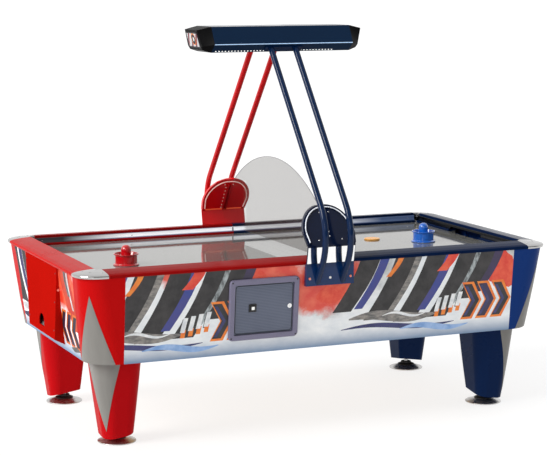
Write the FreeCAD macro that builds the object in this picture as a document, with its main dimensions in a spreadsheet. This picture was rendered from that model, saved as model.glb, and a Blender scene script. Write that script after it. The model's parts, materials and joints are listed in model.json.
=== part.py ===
import FreeCAD, Part
import math
import os

import Sketcher
from FreeCAD import Placement, Rotation, Vector

# An eight-foot air hockey table with a lamp gantry, in millimetres.
# X runs along the table (-X is the red end, +X the blue end), -Y is the coin-door side, +Z is up,
# and the origin is on the floor under the middle of the table.

DIMENSIONS = {
    # cabinet walls: one tub, drawn at three heights and sliced into panels and corner shells
    "wall_bottom": 412, "wall_middle": 618, "wall_top": 824,
    "tub_half_length_low": 1172, "tub_half_length_mid": 1200, "tub_half_length_top": 1222,
    "tub_half_width_low": 629, "tub_half_width_mid": 649, "tub_half_width_top": 669,
    "tub_corner_low": 140, "tub_corner_mid": 125, "tub_corner_top": 110,
    "wall_thickness": 14, "panel_half_length": 1020, "seam_top": 500, "seam_low": 465,
    # top rails
    "rail_half_length": 1237, "rail_half_width": 673, "rail_lip": 114, "rail_web": 84, "rail_kerb": 131,
    "cushion_depth": 103, "cushion_face": 121, "rail_bead": 838,
    "rail_fall": 843, "rail_crown": 848, "rail_shoulder": 852,
    "lip_bottom": 838, "kerb_top": 811, "field_level": 800, "cap_along": 1100, "joint_half_width": 3,
    "cap_radius": 110, "goal_half_width": 165, "goal_height": 25,
    # playfield and air supply
    "board_half_length": 1150, "board_half_width": 586, "board_thickness": 14, "goal_notch": 1100,
    "plenum_half_length": 1085, "plenum_half_width": 560, "plenum_depth": 70, "plenum_board": 12,
    "air_inlet_half": 60, "blower_x": 300, "blower_y": 100,
    "blower_radius": 125, "blower_wall": 3, "blower_height": 80, "blower_bottom": 596,
    "collar_radius": 56, "intake_radius": 70,
    "impeller_radius": 108, "impeller_height": 56, "impeller_disc": 4, "blade_count": 10,
    "shaft_radius": 6, "shaft_fit": 0.05, "hub_radius": 22,
    "motor_radius": 55, "motor_height": 120, "motor_gap": 12,
    # skeleton
    "ring_half_length": 1140, "ring_half_width": 596, "ring_corner": 110, "beam_width": 46, "beam_height": 40,
    "post_size": 40, "leg_plate_thickness": 12, "base_board": 8,
    # legs and feet
    "leg_x": 994, "leg_y": 431, "leg_mid_level": 190, "leg_bottom": 24, "leg_foot_level": 48,
    "leg_foot_tilt": 12, "leg_edge": 20,
    "leg_outer_top": 130, "leg_outer_mid": 103, "leg_outer_low": 80,
    "leg_inner_top": 104, "leg_inner_mid": 84, "leg_inner_low": 66,
    "leg_round_top": 86, "leg_round_mid": 70, "leg_round_low": 56,
    "leg_side_top": 78, "leg_side_mid": 62, "leg_side_low": 44,
    "foot_radius": 92, "foot_rim": 5, "foot_cone_top": 26, "foot_neck_radius": 26, "foot_collar": 36,
    "stem_radius": 10, "stem_top": 170, "stem_fit": 0.08, "stem_bore_top": 180,
    "inlay_thickness": 1.2, "corner_inlay_front": 306, "corner_inlay_end": 500, "corner_inlay_tip": 392,
    "corner_inlay_top": 742, "leg_inlay_front": 318, "leg_inlay_end": 512, "leg_inlay_tip": 402,
    "leg_inlay_low": 67, "corner_start": 500, "leg_start": 716,
    # goal boxes on the ends
    "goal_box_face": 1228, "goal_box_low": 465, "goal_box_heel": 436, "goal_box_half_top": 270,
    "goal_box_half_low": 212, "sheet": 4, "arch_half_width": 44, "arch_bottom": 498, "arch_top": 556,
    "goal_lock_x": 1218, "goal_lock_level": 712, "goal_lock_radius": 5.5, "goal_lock_face": 258,
    "end_hole_half_width": 150, "end_hole_low": 500, "end_hole_top": 790, "chute_half_width": 140,
    # coin door, in the leaning frame of the front panel (s runs up the panel, n out of it)
    "door_frame_left": -510, "door_frame_right": -154, "door_frame_low": 68, "door_frame_high": 365,
    "bezel_width": 26, "bezel_round": 22, "bezel_depth": 14, "sleeve_inset": 12, "sleeve_wall": 4,
    "sleeve_depth": 34, "door_gap": 2, "hinge_gap": 3, "door_thickness": 10, "pivot_inset": 5,
    "pin_radius": 3, "pin_fit": 0.05, "pin_length": 20,
    "lock_x": -200, "lock_up": 221, "lock_radius": 9, "lock_fit": 0.05, "cam_reach": 26,
    "button_x": -390, "button_up": 223, "button_half": 13, "button_frame_half": 19, "button_clearance": 0.4,
    "cash_left": -470, "cash_right": -205, "cash_front": -540, "cash_back": -400, "cash_high": 585,
    "cash_sheet": 3, "inlet_x": 720, "inlet_up": 82, "inlet_half_width": 27, "inlet_half_height": 17,
    # gantry brackets, arms and screen
    "bracket_half_width": 125, "shield_half_width": 133, "bracket_sheet": 4, "plate_face": 684,
    "plate_low": 721, "plate_high": 828, "band_face": 702, "band_top": 915, "shield_apex": 588,
    "shield_top": 1093, "shield_round": 126, "rim_width": 14, "rim_depth": 12, "trim_sheet": 2,
    "arm_spacing": 65.5, "arm_radius": 15, "arm_wall": 2.5, "head_plate": 8, "head_plate_half": 100,
    "arm_top_lean": 39.7, "arm_low_y": 670, "arm_low_z": 730, "arm_low_lean": 33.9, "arm_bend": 242,
    "plate_screw_level": 757, "plate_screw_spacing": 107, "plate_screw_head": 5, "screw_shank": 4,
    "channel_half": 11, "channel_depth": 16, "screen_half": 3, "screen_apex": 1267,
    "screen_radius": 907, "screen_low": 840, "screen_inner": 535, "screen_over_rail": 868,
    "screen_wall_gap": 6,
    # overhead lamp unit
    "lamp_half_length": 373, "lamp_bottom": 1805, "lamp_waist": 1846, "lamp_top": 1932,
    "lamp_bottom_half": 95, "lamp_waist_half": 145, "lamp_top_half": 97, "cover_sheet": 3,
    "diffuser_half_width": 60, "diffuser_half_length": 340, "lamp_cap_end": 445, "cap_end_top": 1916,
    "cap_end_top_half": 82, "cap_end_low": 1818, "cap_end_low_half": 94, "cap_lean": 28,
    # playing pieces
    "mallet_red_x": 859, "mallet_red_y": -199, "mallet_blue_x": 807, "mallet_blue_y": -107,
    "mallet_flange": 62.5, "mallet_wall": 53.5, "mallet_rim": 61, "knob_radius": 24.5,
    "puck_x": 592, "puck_y": 62, "puck_radius": 41, "puck_thickness": 7, "glide": 0.3,
}

doc = FreeCAD.newDocument("AirHockeyTable")
sheet = doc.addObject("Spreadsheet::Sheet", "Dimensions")
for row, (alias, number) in enumerate(DIMENSIONS.items(), 1):
    sheet.set(f"A{row}", alias)
    sheet.set(f"B{row}", str(number))
    sheet.setAlias(f"B{row}", alias)
doc.recompute()


class Size:
    """A length that carries its value and the spreadsheet expression it comes from."""

    def __init__(self, value, text):
        self.value = value
        self.text = text

    def __add__(self, other):
        other = size(other)
        return Size(self.value + other.value, f"({self.text} + {other.text})")

    def __sub__(self, other):
        other = size(other)
        return Size(self.value - other.value, f"({self.text} - {other.text})")

    def __mul__(self, other):
        other = size(other)
        return Size(self.value * other.value, f"({self.text} * {other.text})")

    def __truediv__(self, other):
        other = size(other)
        return Size(self.value / other.value, f"({self.text} / {other.text})")

    def __neg__(self):
        return Size(-self.value, f"(0 - {self.text})")

    __radd__ = __add__

    def __rsub__(self, other):
        return size(other) - self


def size(value):
    return value if isinstance(value, Size) else Size(float(value), f"{float(value):g}")


class Cells:
    """Reads a named cell of the sheet as a Size, as in d.rail_crown."""

    def __getattr__(self, alias):
        return Size(float(DIMENSIONS[alias]), f"Dimensions.{alias}")


d = Cells()
AXES = {"X": Vector(1, 0, 0), "Y": Vector(0, 1, 0), "Z": Vector(0, 0, 1)}
PLANES = {
    "XY": Rotation(),
    "XZ": Rotation(Vector(1, 0, 0), 90),
    "YZ": Rotation(Vector(1, 1, 1), 120),
}
exported = []


def bind(item, prop, length):
    """Ties a property to the sheet."""
    item.setExpression(prop, size(length).text)


def place(item, x=0, y=0, z=0, rotation=None):
    """Puts an object at a position read from the sheet."""
    item.Placement = Placement(Vector(), rotation or Rotation())
    for axis, length in (("x", x), ("y", y), ("z", z)):
        bind(item, f"Placement.Base.{axis}", length)
    return item


def add(kind, name, **links):
    item = doc.addObject(kind, name)
    item.Label = name
    for prop, value in links.items():
        setattr(item, prop, value)
    return item


def box(name, x, y, z):
    """A block between two corners, each range given as (low, high)."""
    item = add("Part::Box", name)
    for prop, (low, high) in (("Length", x), ("Width", y), ("Height", z)):
        bind(item, prop, size(high) - low)
    return place(item, x[0], y[0], z[0])


def rod(name, radius, length, x=0, y=0, z=0, axis="Z"):
    """A cylinder that starts at a point and runs along an axis."""
    item = add("Part::Cylinder", name)
    bind(item, "Radius", radius)
    bind(item, "Height", length)
    return place(item, x, y, z, Rotation(AXES["Z"], AXES[axis]))


def cut(name, base, *tools):
    tool = tools[0] if len(tools) == 1 else fuse(name + "_tools", *tools)
    return add("Part::Cut", name, Base=base, Tool=tool)


def fuse(name, *shapes):
    return add("Part::MultiFuse", name, Shapes=list(shapes))


def common(name, *shapes):
    return add("Part::MultiCommon", name, Shapes=list(shapes))


def group(name, *shapes):
    """Separate solids that share one node."""
    return add("Part::Compound", name, Links=list(shapes))


def mirror(name, source, axis):
    """The same piece on the other side of the table's middle plane across an axis."""
    return add("Part::Mirroring", name, Source=source, Normal=AXES[axis])


def outline(sketch, corners):
    """Draws a closed outline. Each corner is (u, v) or, where it is rounded, (u, v, radius)."""
    count = len(corners)
    points = [Vector(size(c[0]).value, size(c[1]).value, 0) for c in corners]
    radii = [size(c[2]) if len(c) > 2 else None for c in corners]
    starts, ends = [], []
    for i, point in enumerate(points):
        toward_last = (points[i - 1] - point).normalize()
        toward_next = (points[(i + 1) % count] - point).normalize()
        half_turn = toward_last.getAngle(toward_next) / 2
        reach = radii[i].value / math.tan(half_turn) if radii[i] else 0
        ends.append(point + toward_last * reach)
        starts.append(point + toward_next * reach)
    lines = [
        sketch.addGeometry(Part.LineSegment(starts[i], ends[(i + 1) % count])) for i in range(count)
    ]
    for i, corner in enumerate(corners):
        last, following = lines[i - 1], lines[i]
        if radii[i] is None:
            sketch.addConstraint(Sketcher.Constraint("Coincident", last, 2, following, 1))
            pin_down(sketch, following, 1, corner)
            continue
        bisector = (points[i - 1] - points[i]).normalize() + (points[(i + 1) % count] - points[i]).normalize()
        half_turn = (points[i - 1] - points[i]).getAngle(points[(i + 1) % count] - points[i]) / 2
        centre = points[i] + bisector.normalize() * (radii[i].value / math.sin(half_turn))
        middle = centre + (points[i] - centre).normalize() * radii[i].value
        arc = sketch.addGeometry(Part.Arc(ends[i], middle, starts[i]))
        turns_left = (points[i] - points[i - 1]).cross(points[(i + 1) % count] - points[i]).z > 0
        first, second = (1, 2) if turns_left else (2, 1)
        sketch.addConstraint(Sketcher.Constraint("Tangent", last, 2, arc, first))
        sketch.addConstraint(Sketcher.Constraint("Tangent", arc, second, following, 1))
        radius = sketch.addConstraint(Sketcher.Constraint("Radius", arc, radii[i].value))
        sketch.setExpression(f"Constraints[{radius}]", radii[i].text)
        apex = sketch.addGeometry(Part.Point(points[i]), True)
        pin_down(sketch, apex, 1, corner)
        sketch.addConstraint(Sketcher.Constraint("PointOnObject", apex, 1, last))
        sketch.addConstraint(Sketcher.Constraint("PointOnObject", apex, 1, following))


def pin_down(sketch, geometry, end, corner):
    """Ties a sketch point's two coordinates to the sheet."""
    for kind, axis_line, length in (("DistanceX", -2, corner[0]), ("DistanceY", -1, corner[1])):
        length = size(length)
        if abs(length.value) < 1e-9:
            sketch.addConstraint(Sketcher.Constraint("PointOnObject", geometry, end, axis_line))
            continue
        index = sketch.addConstraint(Sketcher.Constraint(kind, -1, 1, geometry, end, length.value))
        sketch.setExpression(f"Constraints[{index}]", length.text)


def sketch_on(name, plane, corners, x=0, y=0, z=0):
    """A free sketch parallel to a main plane."""
    sketch = add("Sketcher::SketchObject", name)
    outline(sketch, corners)
    return place(sketch, x, y, z, PLANES[plane])


def prism(name, plane, corners, start, end):
    """An outline on a main plane, extruded from one offset to another along that plane's axis."""
    axis = {"XY": "Z", "XZ": "Y", "YZ": "X"}[plane]
    offset = {axis.lower(): size(start)}
    profile = sketch_on(name + "_outline", plane, corners, **offset)
    solid = add("Part::Extrusion", name, Base=profile, DirMode="Custom", Dir=AXES[axis], Solid=True)
    bind(solid, "LengthFwd", size(end) - start)
    return solid


def body_on(name, plane, corners):
    """A PartDesign body with one outline on one of its own origin planes."""
    body = add("PartDesign::Body", name)
    sketch = body.newObject("Sketcher::SketchObject", name + "_sketch")
    role = {"XY": "XY_Plane", "XZ": "XZ_Plane", "YZ": "YZ_Plane"}[plane]
    support = next(f for f in body.Origin.OriginFeatures if f.Role == role)
    sketch.AttachmentSupport = [(support, "")]
    sketch.MapMode = "FlatFace"
    outline(sketch, corners)
    return body, sketch


def turned(name, profile, x=0, y=0, z=0):
    """A body of revolution about its own Z axis; the profile is (radius, height)."""
    body, sketch = body_on(name, "XZ", profile)
    feature = body.newObject("PartDesign::Revolution", name + "_turn")
    feature.Profile = sketch
    feature.ReferenceAxis = (sketch, ["V_Axis"])
    feature.Angle = 360
    body.Tip = feature
    return place(body, x, y, z)


def rounded_rectangle(half_x, half_y, radius):
    return [
        (half_x, half_y, radius),
        (-size(half_x), half_y, radius),
        (-size(half_x), -size(half_y), radius),
        (half_x, -size(half_y), radius),
    ]


def loft(name, sections, ruled=False):
    return add("Part::Loft", name, Sections=sections, Solid=True, Ruled=ruled)


def soften(name, base, radius, chosen):
    """Rounds the edges of a finished base that pass a test."""
    doc.recompute()
    picked = [index for index, edge in enumerate(base.Shape.Edges, 1) if chosen(edge.BoundBox)]
    return add("Part::Fillet", name, Base=base, Edges=[(index, radius, radius) for index in picked])


def keep(item):
    """Marks a finished piece for export."""
    exported.append(item)
    return item


# ---------------------------------------------------------------- cabinet walls

def tub(name, inset):
    """The tapering outside of the cabinet, or its inside when inset by the wall."""
    sections = []
    for level in ("low", "mid", "top"):
        height = {"low": d.wall_bottom, "mid": d.wall_middle, "top": d.wall_top}[level]
        section = sketch_on(
            f"{name}_{level}", "XY",
            rounded_rectangle(
                getattr(d, f"tub_half_length_{level}") - inset,
                getattr(d, f"tub_half_width_{level}") - inset,
                getattr(d, f"tub_corner_{level}") - inset,
            ),
            z=height,
        )
        sections.append(section)
    return loft(name, sections)


tub_outside = tub("tub_outside", size(0))
tub_inside = tub("tub_inside", d.wall_thickness)
tub_walls = cut("tub_walls", tub_outside, tub_inside)
FAR = size(1400)

panel_zone = box(
    "front_panel_zone", (-d.panel_half_length, d.panel_half_length), (-FAR, size(-540)),
    (d.wall_bottom, d.wall_top),
)
front_wall = common("front_wall", tub_walls, panel_zone)

corner_zone = prism(
    "corner_zone", "YZ",
    [(-FAR, d.wall_bottom), (-d.seam_low, d.wall_bottom), (-d.seam_top, d.wall_top), (-FAR, d.wall_top)],
    d.panel_half_length, FAR,
)
corner_front_blue = common("corner_front_blue", tub_walls, corner_zone)
corner_rear_blue = mirror("corner_rear_blue", corner_front_blue, "Y")
corner_shells_blue = keep(group("corner_shells_blue", corner_front_blue, corner_rear_blue))
corner_shells_red = keep(mirror("corner_shells_red", corner_shells_blue, "X"))

end_zone = prism(
    "end_zone", "YZ",
    [(-d.seam_low, d.wall_bottom), (d.seam_low, d.wall_bottom), (d.seam_top, d.wall_top),
     (-d.seam_top, d.wall_top)],
    d.panel_half_length, FAR,
)
end_wall = common("end_wall", tub_walls, end_zone)
end_hole = box(
    "end_hole", (size(1100), FAR), (-d.end_hole_half_width, d.end_hole_half_width),
    (d.end_hole_low, d.end_hole_top),
)
right_end_panel = keep(cut("right_end_panel", end_wall, end_hole))
left_end_panel = keep(mirror("left_end_panel", right_end_panel, "X"))


# ---------------------------------------------------------------- goal boxes on the ends

def goal_box_solid(name, wall):
    """The wedge that stands out of the end wall, shrunk by a wall thickness for its hollow."""
    side = prism(
        name + "_side", "XZ",
        [(size(1100), d.wall_top + 20), (d.goal_box_face - wall, d.wall_top + 20),
         (d.goal_box_face - wall, d.goal_box_low + wall), (size(1150), d.goal_box_heel + wall - 12),
         (size(1100), d.goal_box_heel + wall - 12)],
        size(-400), size(400),
    )
    rise = size(20)
    face = prism(
        name + "_face", "YZ",
        [(-(d.goal_box_half_low - wall), size(400)), (d.goal_box_half_low - wall, size(400)),
         (d.goal_box_half_top - wall, d.wall_top), (d.goal_box_half_top - wall, d.wall_top + rise),
         (-(d.goal_box_half_top - wall), d.wall_top + rise), (-(d.goal_box_half_top - wall), d.wall_top)],
        size(1100), FAR,
    )
    return common(name, side, face)


below_rail = box("below_rail", (size(1100), FAR), (size(-400), size(400)), (size(400), d.wall_top))
goal_box_full = common("goal_box_full", goal_box_solid("goal_box_outer", size(0)), below_rail)
goal_box_hollow = goal_box_solid("goal_box_inner", d.sheet)
arch_hole = prism(
    "arch_hole", "YZ",
    [(-d.arch_half_width, d.arch_bottom), (d.arch_half_width, d.arch_bottom),
     (d.arch_half_width, d.arch_top, size(40)), (-d.arch_half_width, d.arch_top, size(40))],
    size(1150), FAR,
)
goal_lock_hole = rod(
    "goal_lock_hole", d.goal_lock_radius + d.lock_fit, size(60), d.goal_lock_x, size(-300),
    d.goal_lock_level, "Y",
)
goal_box_right = keep(
    cut("goal_box_right", goal_box_full, tub_outside, goal_box_hollow, arch_hole, goal_lock_hole)
)
goal_box_left = keep(mirror("goal_box_left", goal_box_right, "X"))

chute_floor = prism(
    "chute_floor", "XZ",
    [(size(1092), size(602)), (size(1218), size(492)), (size(1218), size(496)), (size(1092), size(606))],
    -d.chute_half_width, d.chute_half_width,
)
chute_side = prism(
    "chute_side", "XZ",
    [(size(1092), size(602)), (size(1150), size(552)), (size(1150), size(700)), (size(1092), size(700))],
    -d.chute_half_width - 4, -d.chute_half_width,
)
chute_other_side = mirror("chute_other_side", chute_side, "Y")
chute_right = group("chute_right", chute_floor, chute_side, chute_other_side)
chute_left = mirror("chute_left", chute_right, "X")
puck_chutes = keep(group("puck_chutes", chute_right, chute_left))


# ---------------------------------------------------------------- top rails, corner caps and cushions

def rail_profile(half_span):
    """Rail section from its nose to the kerb; the distance across the table grows outwards."""
    edge = size(half_span)
    return [
        (edge - d.rail_web, d.wall_top), (edge - 2, d.wall_top), (edge, d.wall_top + 8, size(3)),
        (edge - 3, d.rail_bead, size(6)), (edge - 22, d.rail_fall, size(30)),
        (edge - 62, d.rail_crown, size(60)), (edge - d.rail_lip, d.rail_shoulder, size(5)),
        (edge - d.rail_lip, d.lip_bottom), (edge - d.cushion_depth, d.lip_bottom),
        (edge - d.cushion_depth, d.kerb_top), (edge - d.rail_kerb, d.kerb_top, size(3)),
        (edge - d.rail_kerb, d.field_level), (edge - d.rail_web, d.field_level),
    ]


def flipped(corners):
    return [(-size(c[0]), *c[1:]) for c in reversed(corners)]


side_rail = prism("side_rail_rear", "YZ", rail_profile(d.rail_half_width), size(0), d.cap_along)
side_rail_other = mirror("side_rail_front", side_rail, "Y")
side_rails_blue = keep(group("side_rails_blue", side_rail, side_rail_other))
side_rails_red = keep(mirror("side_rails_red", side_rails_blue, "X"))

cap_across = d.rail_half_width - d.rail_kerb - 6
end_rail_full = prism(
    "end_rail_full", "XZ", rail_profile(d.rail_half_length), -cap_across, cap_across
)
goal_mouth = box(
    "goal_mouth", (size(1080), d.rail_half_length - d.rail_web + 1),
    (-d.goal_half_width, d.goal_half_width),
    (d.field_level - 1, d.field_level + d.goal_height),
)
end_rail_blue = keep(cut("end_rail_blue", end_rail_full, goal_mouth))
end_rail_red = keep(mirror("end_rail_red", end_rail_blue, "X"))

cap_centre_x = d.rail_half_length - d.cap_radius
cap_centre_y = d.rail_half_width - d.cap_radius
cap_side = prism("cap_side", "YZ", rail_profile(d.rail_half_width), d.cap_along, cap_centre_x)
cap_end = prism("cap_end", "XZ", rail_profile(d.rail_half_length), cap_across, cap_centre_y)
nose_profile = [
    (size(0), d.wall_top), (d.cap_radius - 2, d.wall_top), (d.cap_radius, d.wall_top + 8, size(3)),
    (d.cap_radius - 3, d.rail_bead, size(6)), (d.cap_radius - 22, d.rail_fall, size(30)),
    (d.cap_radius - 62, d.rail_crown, size(60)), (size(0), d.rail_shoulder - 0.3),
]
cap_nose_outline = sketch_on("cap_nose_outline", "XZ", nose_profile)
cap_nose = add(
    "Part::Revolution", "cap_nose", Source=cap_nose_outline, Axis=AXES["Z"], Solid=True, Angle=90
)
place(cap_nose, cap_centre_x, cap_centre_y, 0)
cap_rear_blue = fuse("cap_rear_blue", cap_side, cap_end, cap_nose)
cap_front_blue = mirror("cap_front_blue", cap_rear_blue, "Y")
caps_blue = group("caps_blue", cap_rear_blue, cap_front_blue)
caps_red = mirror("caps_red", caps_blue, "X")
corner_caps = keep(group("corner_caps", caps_blue, caps_red))


def cushion_profile(half_span):
    """Aluminium band in the rail's groove, hollowed lightly along its face."""
    edge = size(half_span)
    return [
        (edge - d.cushion_depth, d.kerb_top), (edge - d.cushion_depth, d.lip_bottom),
        (edge - d.cushion_face, d.lip_bottom, size(2)), (edge - d.cushion_face + 3, d.kerb_top + 14, size(8)),
        (edge - d.cushion_face, d.kerb_top, size(2)),
    ]


side_cushion = prism(
    "side_cushion", "YZ", cushion_profile(d.rail_half_width), d.joint_half_width, d.cap_along
)
side_cushion_pair = group("side_cushion_pair", side_cushion, mirror("side_cushion_front", side_cushion, "Y"))
side_cushions = keep(
    group("side_cushions", side_cushion_pair, mirror("side_cushion_other_half", side_cushion_pair, "X"))
)
end_cushion_full = prism(
    "end_cushion_full", "XZ", cushion_profile(d.rail_half_length), -cap_across, cap_across
)
end_cushion = cut("end_cushion", end_cushion_full, goal_mouth)
end_cushions = keep(group("end_cushions", end_cushion, mirror("end_cushion_other", end_cushion, "X")))


# ---------------------------------------------------------------- playfield, plenum and skeleton

board_bottom = d.field_level - d.board_thickness
board = box(
    "board", (-d.board_half_length, d.board_half_length), (-d.board_half_width, d.board_half_width),
    (board_bottom, d.field_level),
)
board_notch = box(
    "board_notch", (d.goal_notch, d.board_half_length + 1), (-d.goal_half_width, d.goal_half_width),
    (board_bottom - 1, d.field_level + 1),
)
playfield_board = keep(
    cut("playfield_board", board, board_notch, mirror("board_notch_left", board_notch, "X"))
)

plenum_floor_level = board_bottom - d.plenum_depth
inlet_x_range = (d.blower_x - d.air_inlet_half, d.blower_x + d.air_inlet_half)
plenum_floor = [
    box(f"plenum_floor_{index}", x_range, y_range, (plenum_floor_level, plenum_floor_level + d.plenum_board))
    for index, (x_range, y_range) in enumerate((
        ((-d.plenum_half_length, inlet_x_range[0]), (-d.plenum_half_width, d.plenum_half_width)),
        ((inlet_x_range[1], d.plenum_half_length), (-d.plenum_half_width, d.plenum_half_width)),
        (inlet_x_range, (-d.plenum_half_width, d.blower_y - d.air_inlet_half)),
        (inlet_x_range, (d.blower_y + d.air_inlet_half, d.plenum_half_width)),
    ))
]
plenum_long = box(
    "plenum_long", (-d.plenum_half_length, d.plenum_half_length),
    (d.plenum_half_width - d.plenum_board, d.plenum_half_width),
    (plenum_floor_level + d.plenum_board, board_bottom),
)
plenum_short = box(
    "plenum_short", (d.plenum_half_length - d.plenum_board, d.plenum_half_length),
    (d.plenum_board - d.plenum_half_width, d.plenum_half_width - d.plenum_board),
    (plenum_floor_level + d.plenum_board, board_bottom),
)
air_plenum = keep(
    group(
        "air_plenum", *plenum_floor, plenum_long, mirror("plenum_long_front", plenum_long, "Y"),
        plenum_short, mirror("plenum_short_left", plenum_short, "X"),
    )
)

beam_top = d.wall_bottom + d.beam_height
ring_long = box(
    "ring_long", (-d.ring_half_length, d.ring_half_length),
    (d.ring_half_width - d.beam_width, d.ring_half_width), (d.wall_bottom, beam_top),
)
ring_short = box(
    "ring_short", (d.ring_half_length - d.beam_width, d.ring_half_length),
    (d.beam_width - d.ring_half_width, d.ring_half_width - d.beam_width), (d.wall_bottom, beam_top),
)
square_ring = group(
    "square_ring", ring_long, mirror("ring_long_front", ring_long, "Y"),
    ring_short, mirror("ring_short_left", ring_short, "X"),
)
ring_zone = prism(
    "ring_zone", "XY", rounded_rectangle(d.ring_half_length, d.ring_half_width, d.ring_corner),
    d.wall_bottom, beam_top,
)
frame_pieces = [common("floor_ring", square_ring, ring_zone)]
post_top = plenum_floor_level - d.beam_height
for index, post_x in enumerate((size(-780), size(-560), size(90), size(780))):
    half_post = d.post_size / 2
    inner_y = d.ring_half_width - d.beam_width
    floor_beam = box(
        f"floor_beam_{index}", (post_x - half_post, post_x + half_post), (-inner_y, inner_y),
        (d.wall_bottom, beam_top),
    )
    top_beam = box(
        f"top_beam_{index}", (post_x - half_post, post_x + half_post),
        (-d.ring_half_width, d.ring_half_width), (post_top, plenum_floor_level),
    )
    post = box(
        f"post_{index}", (post_x - half_post, post_x + half_post),
        (inner_y, d.ring_half_width), (beam_top, post_top),
    )
    frame_pieces += [floor_beam, top_beam, post, mirror(f"post_front_{index}", post, "Y")]
leg_plate = box(
    "leg_plate", (size(870), d.ring_half_length - d.beam_width),
    (size(320), d.ring_half_width - d.beam_width),
    (d.wall_bottom, d.wall_bottom + d.leg_plate_thickness),
)
leg_plate_pair = group("leg_plate_pair", leg_plate, mirror("leg_plate_front", leg_plate, "Y"))
frame_pieces += [leg_plate_pair, mirror("leg_plates_left", leg_plate_pair, "X")]
cabinet_frame = keep(group("cabinet_frame", *frame_pieces))
base_panel = keep(
    box(
        "base_panel", (d.beam_width - d.ring_half_length, d.ring_half_length - d.beam_width),
        (d.beam_width - d.ring_half_width, d.ring_half_width - d.beam_width),
        (beam_top, beam_top + d.base_board),
    )
)


# ---------------------------------------------------------------- blower

blower_top = d.blower_bottom + d.blower_height
lid_bottom = blower_top - d.blower_wall
drum = rod("drum", d.blower_radius, lid_bottom - d.blower_bottom, d.blower_x, d.blower_y, d.blower_bottom)
drum_inside = rod(
    "drum_inside", d.blower_radius - d.blower_wall, d.blower_height, d.blower_x, d.blower_y,
    d.blower_bottom + d.blower_wall,
)
lid_plate = rod("lid_plate", d.blower_radius, d.blower_wall, d.blower_x, d.blower_y, lid_bottom)
collar = rod(
    "collar", d.collar_radius, plenum_floor_level - blower_top + 6, d.blower_x, d.blower_y, blower_top
)
collar_inside = rod(
    "collar_inside", d.collar_radius - d.blower_wall, size(120), d.blower_x, d.blower_y, blower_top - 10
)
intake = rod(
    "intake", d.intake_radius, size(20), d.blower_x, d.blower_y, d.blower_bottom - 10
)
blower_housing = keep(cut("blower_housing", drum, drum_inside, intake))
blower_lid = keep(cut("blower_lid", fuse("plate_and_collar", lid_plate, collar), collar_inside))

impeller_floor = d.blower_bottom + d.blower_wall + 6
disc = rod("impeller_disc", d.impeller_radius, d.impeller_disc, d.blower_x, d.blower_y, impeller_floor)
hub = rod("impeller_hub", d.hub_radius, d.impeller_height - 10, d.blower_x, d.blower_y, impeller_floor)
blade_shapes = []
for index in range(int(DIMENSIONS["blade_count"])):
    blade = add("Part::Box", f"impeller_blade_{index}")
    bind(blade, "Length", d.impeller_radius - d.intake_radius)
    bind(blade, "Width", size(2))
    bind(blade, "Height", d.impeller_height - d.impeller_disc)
    angle = 2 * math.pi * index / DIMENSIONS["blade_count"]
    turn = Rotation(AXES["Z"], math.degrees(angle) + 35)
    start = d.intake_radius - 4
    place(
        blade, d.blower_x + start * math.cos(angle), d.blower_y + start * math.sin(angle),
        impeller_floor + d.impeller_disc, turn,
    )
    blade_shapes.append(blade)
motor_top = d.blower_bottom - d.motor_gap
shaft = rod(
    "impeller_shaft", d.shaft_radius, size(60), d.blower_x, d.blower_y, motor_top - 34
)
impeller = keep(fuse("impeller", disc, hub, shaft, *blade_shapes))

motor_can = rod(
    "motor_can", d.motor_radius, d.motor_height, d.blower_x, d.blower_y, motor_top - d.motor_height
)
motor_bore = rod(
    "motor_bore", d.shaft_radius + d.shaft_fit, size(60), d.blower_x, d.blower_y, motor_top - 40
)
motor_feet = [
    box(
        f"motor_bracket_{index}", (d.blower_x - 8, d.blower_x + 8),
        (d.blower_y + low, d.blower_y + high), (motor_top - 12, d.blower_bottom),
    )
    for index, (low, high) in enumerate(((-110, -48), (48, 110)))
]
blower_motor = keep(cut("blower_motor", fuse("motor_and_feet", motor_can, *motor_feet), motor_bore))


# ---------------------------------------------------------------- legs, feet and grey inlays

def leg_section(name, level, height, outset):
    """Leg section about the foot's axis: well rounded outside, nearly square inside."""
    outer = getattr(d, f"leg_outer_{level}") + outset
    inner = getattr(d, f"leg_inner_{level}") + outset
    outer_round = getattr(d, f"leg_round_{level}") + outset
    side_round = getattr(d, f"leg_side_{level}") + outset
    corners = [
        (-inner, -outer, side_round), (outer, -outer, outer_round), (outer, inner, side_round),
        (-inner, inner, d.leg_edge),
    ]
    return sketch_on(name, "XY", corners, d.leg_x, -d.leg_y, height)


def leg_body(name, outset):
    heights = {"low": d.leg_bottom, "mid": d.leg_mid_level, "top": d.wall_bottom}
    return loft(name, [leg_section(f"{name}_{level}", level, z, outset) for level, z in heights.items()])


across = Vector(1, 1, 0).normalize()
outward = Vector(1, -1, 0).normalize()


def diagonal_wedge(name, start, corners):
    """A prism outwards along the front right corner's diagonal, from a triangle square to it."""
    sketch = add("Sketcher::SketchObject", name + "_outline")
    outline(sketch, corners)
    place(sketch, start, -start, 0, Rotation(across, AXES["Z"], outward, "ZXY"))
    wedge = add("Part::Extrusion", name, Base=sketch, DirMode="Custom", Dir=outward, Solid=True)
    bind(wedge, "LengthFwd", size(1000))
    return wedge


def in_four_corners(name, source):
    pair = group(name + "_pair", source, mirror(name + "_rear", source, "Y"))
    return keep(group(name, pair, mirror(name + "_left", pair, "X")))


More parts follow.
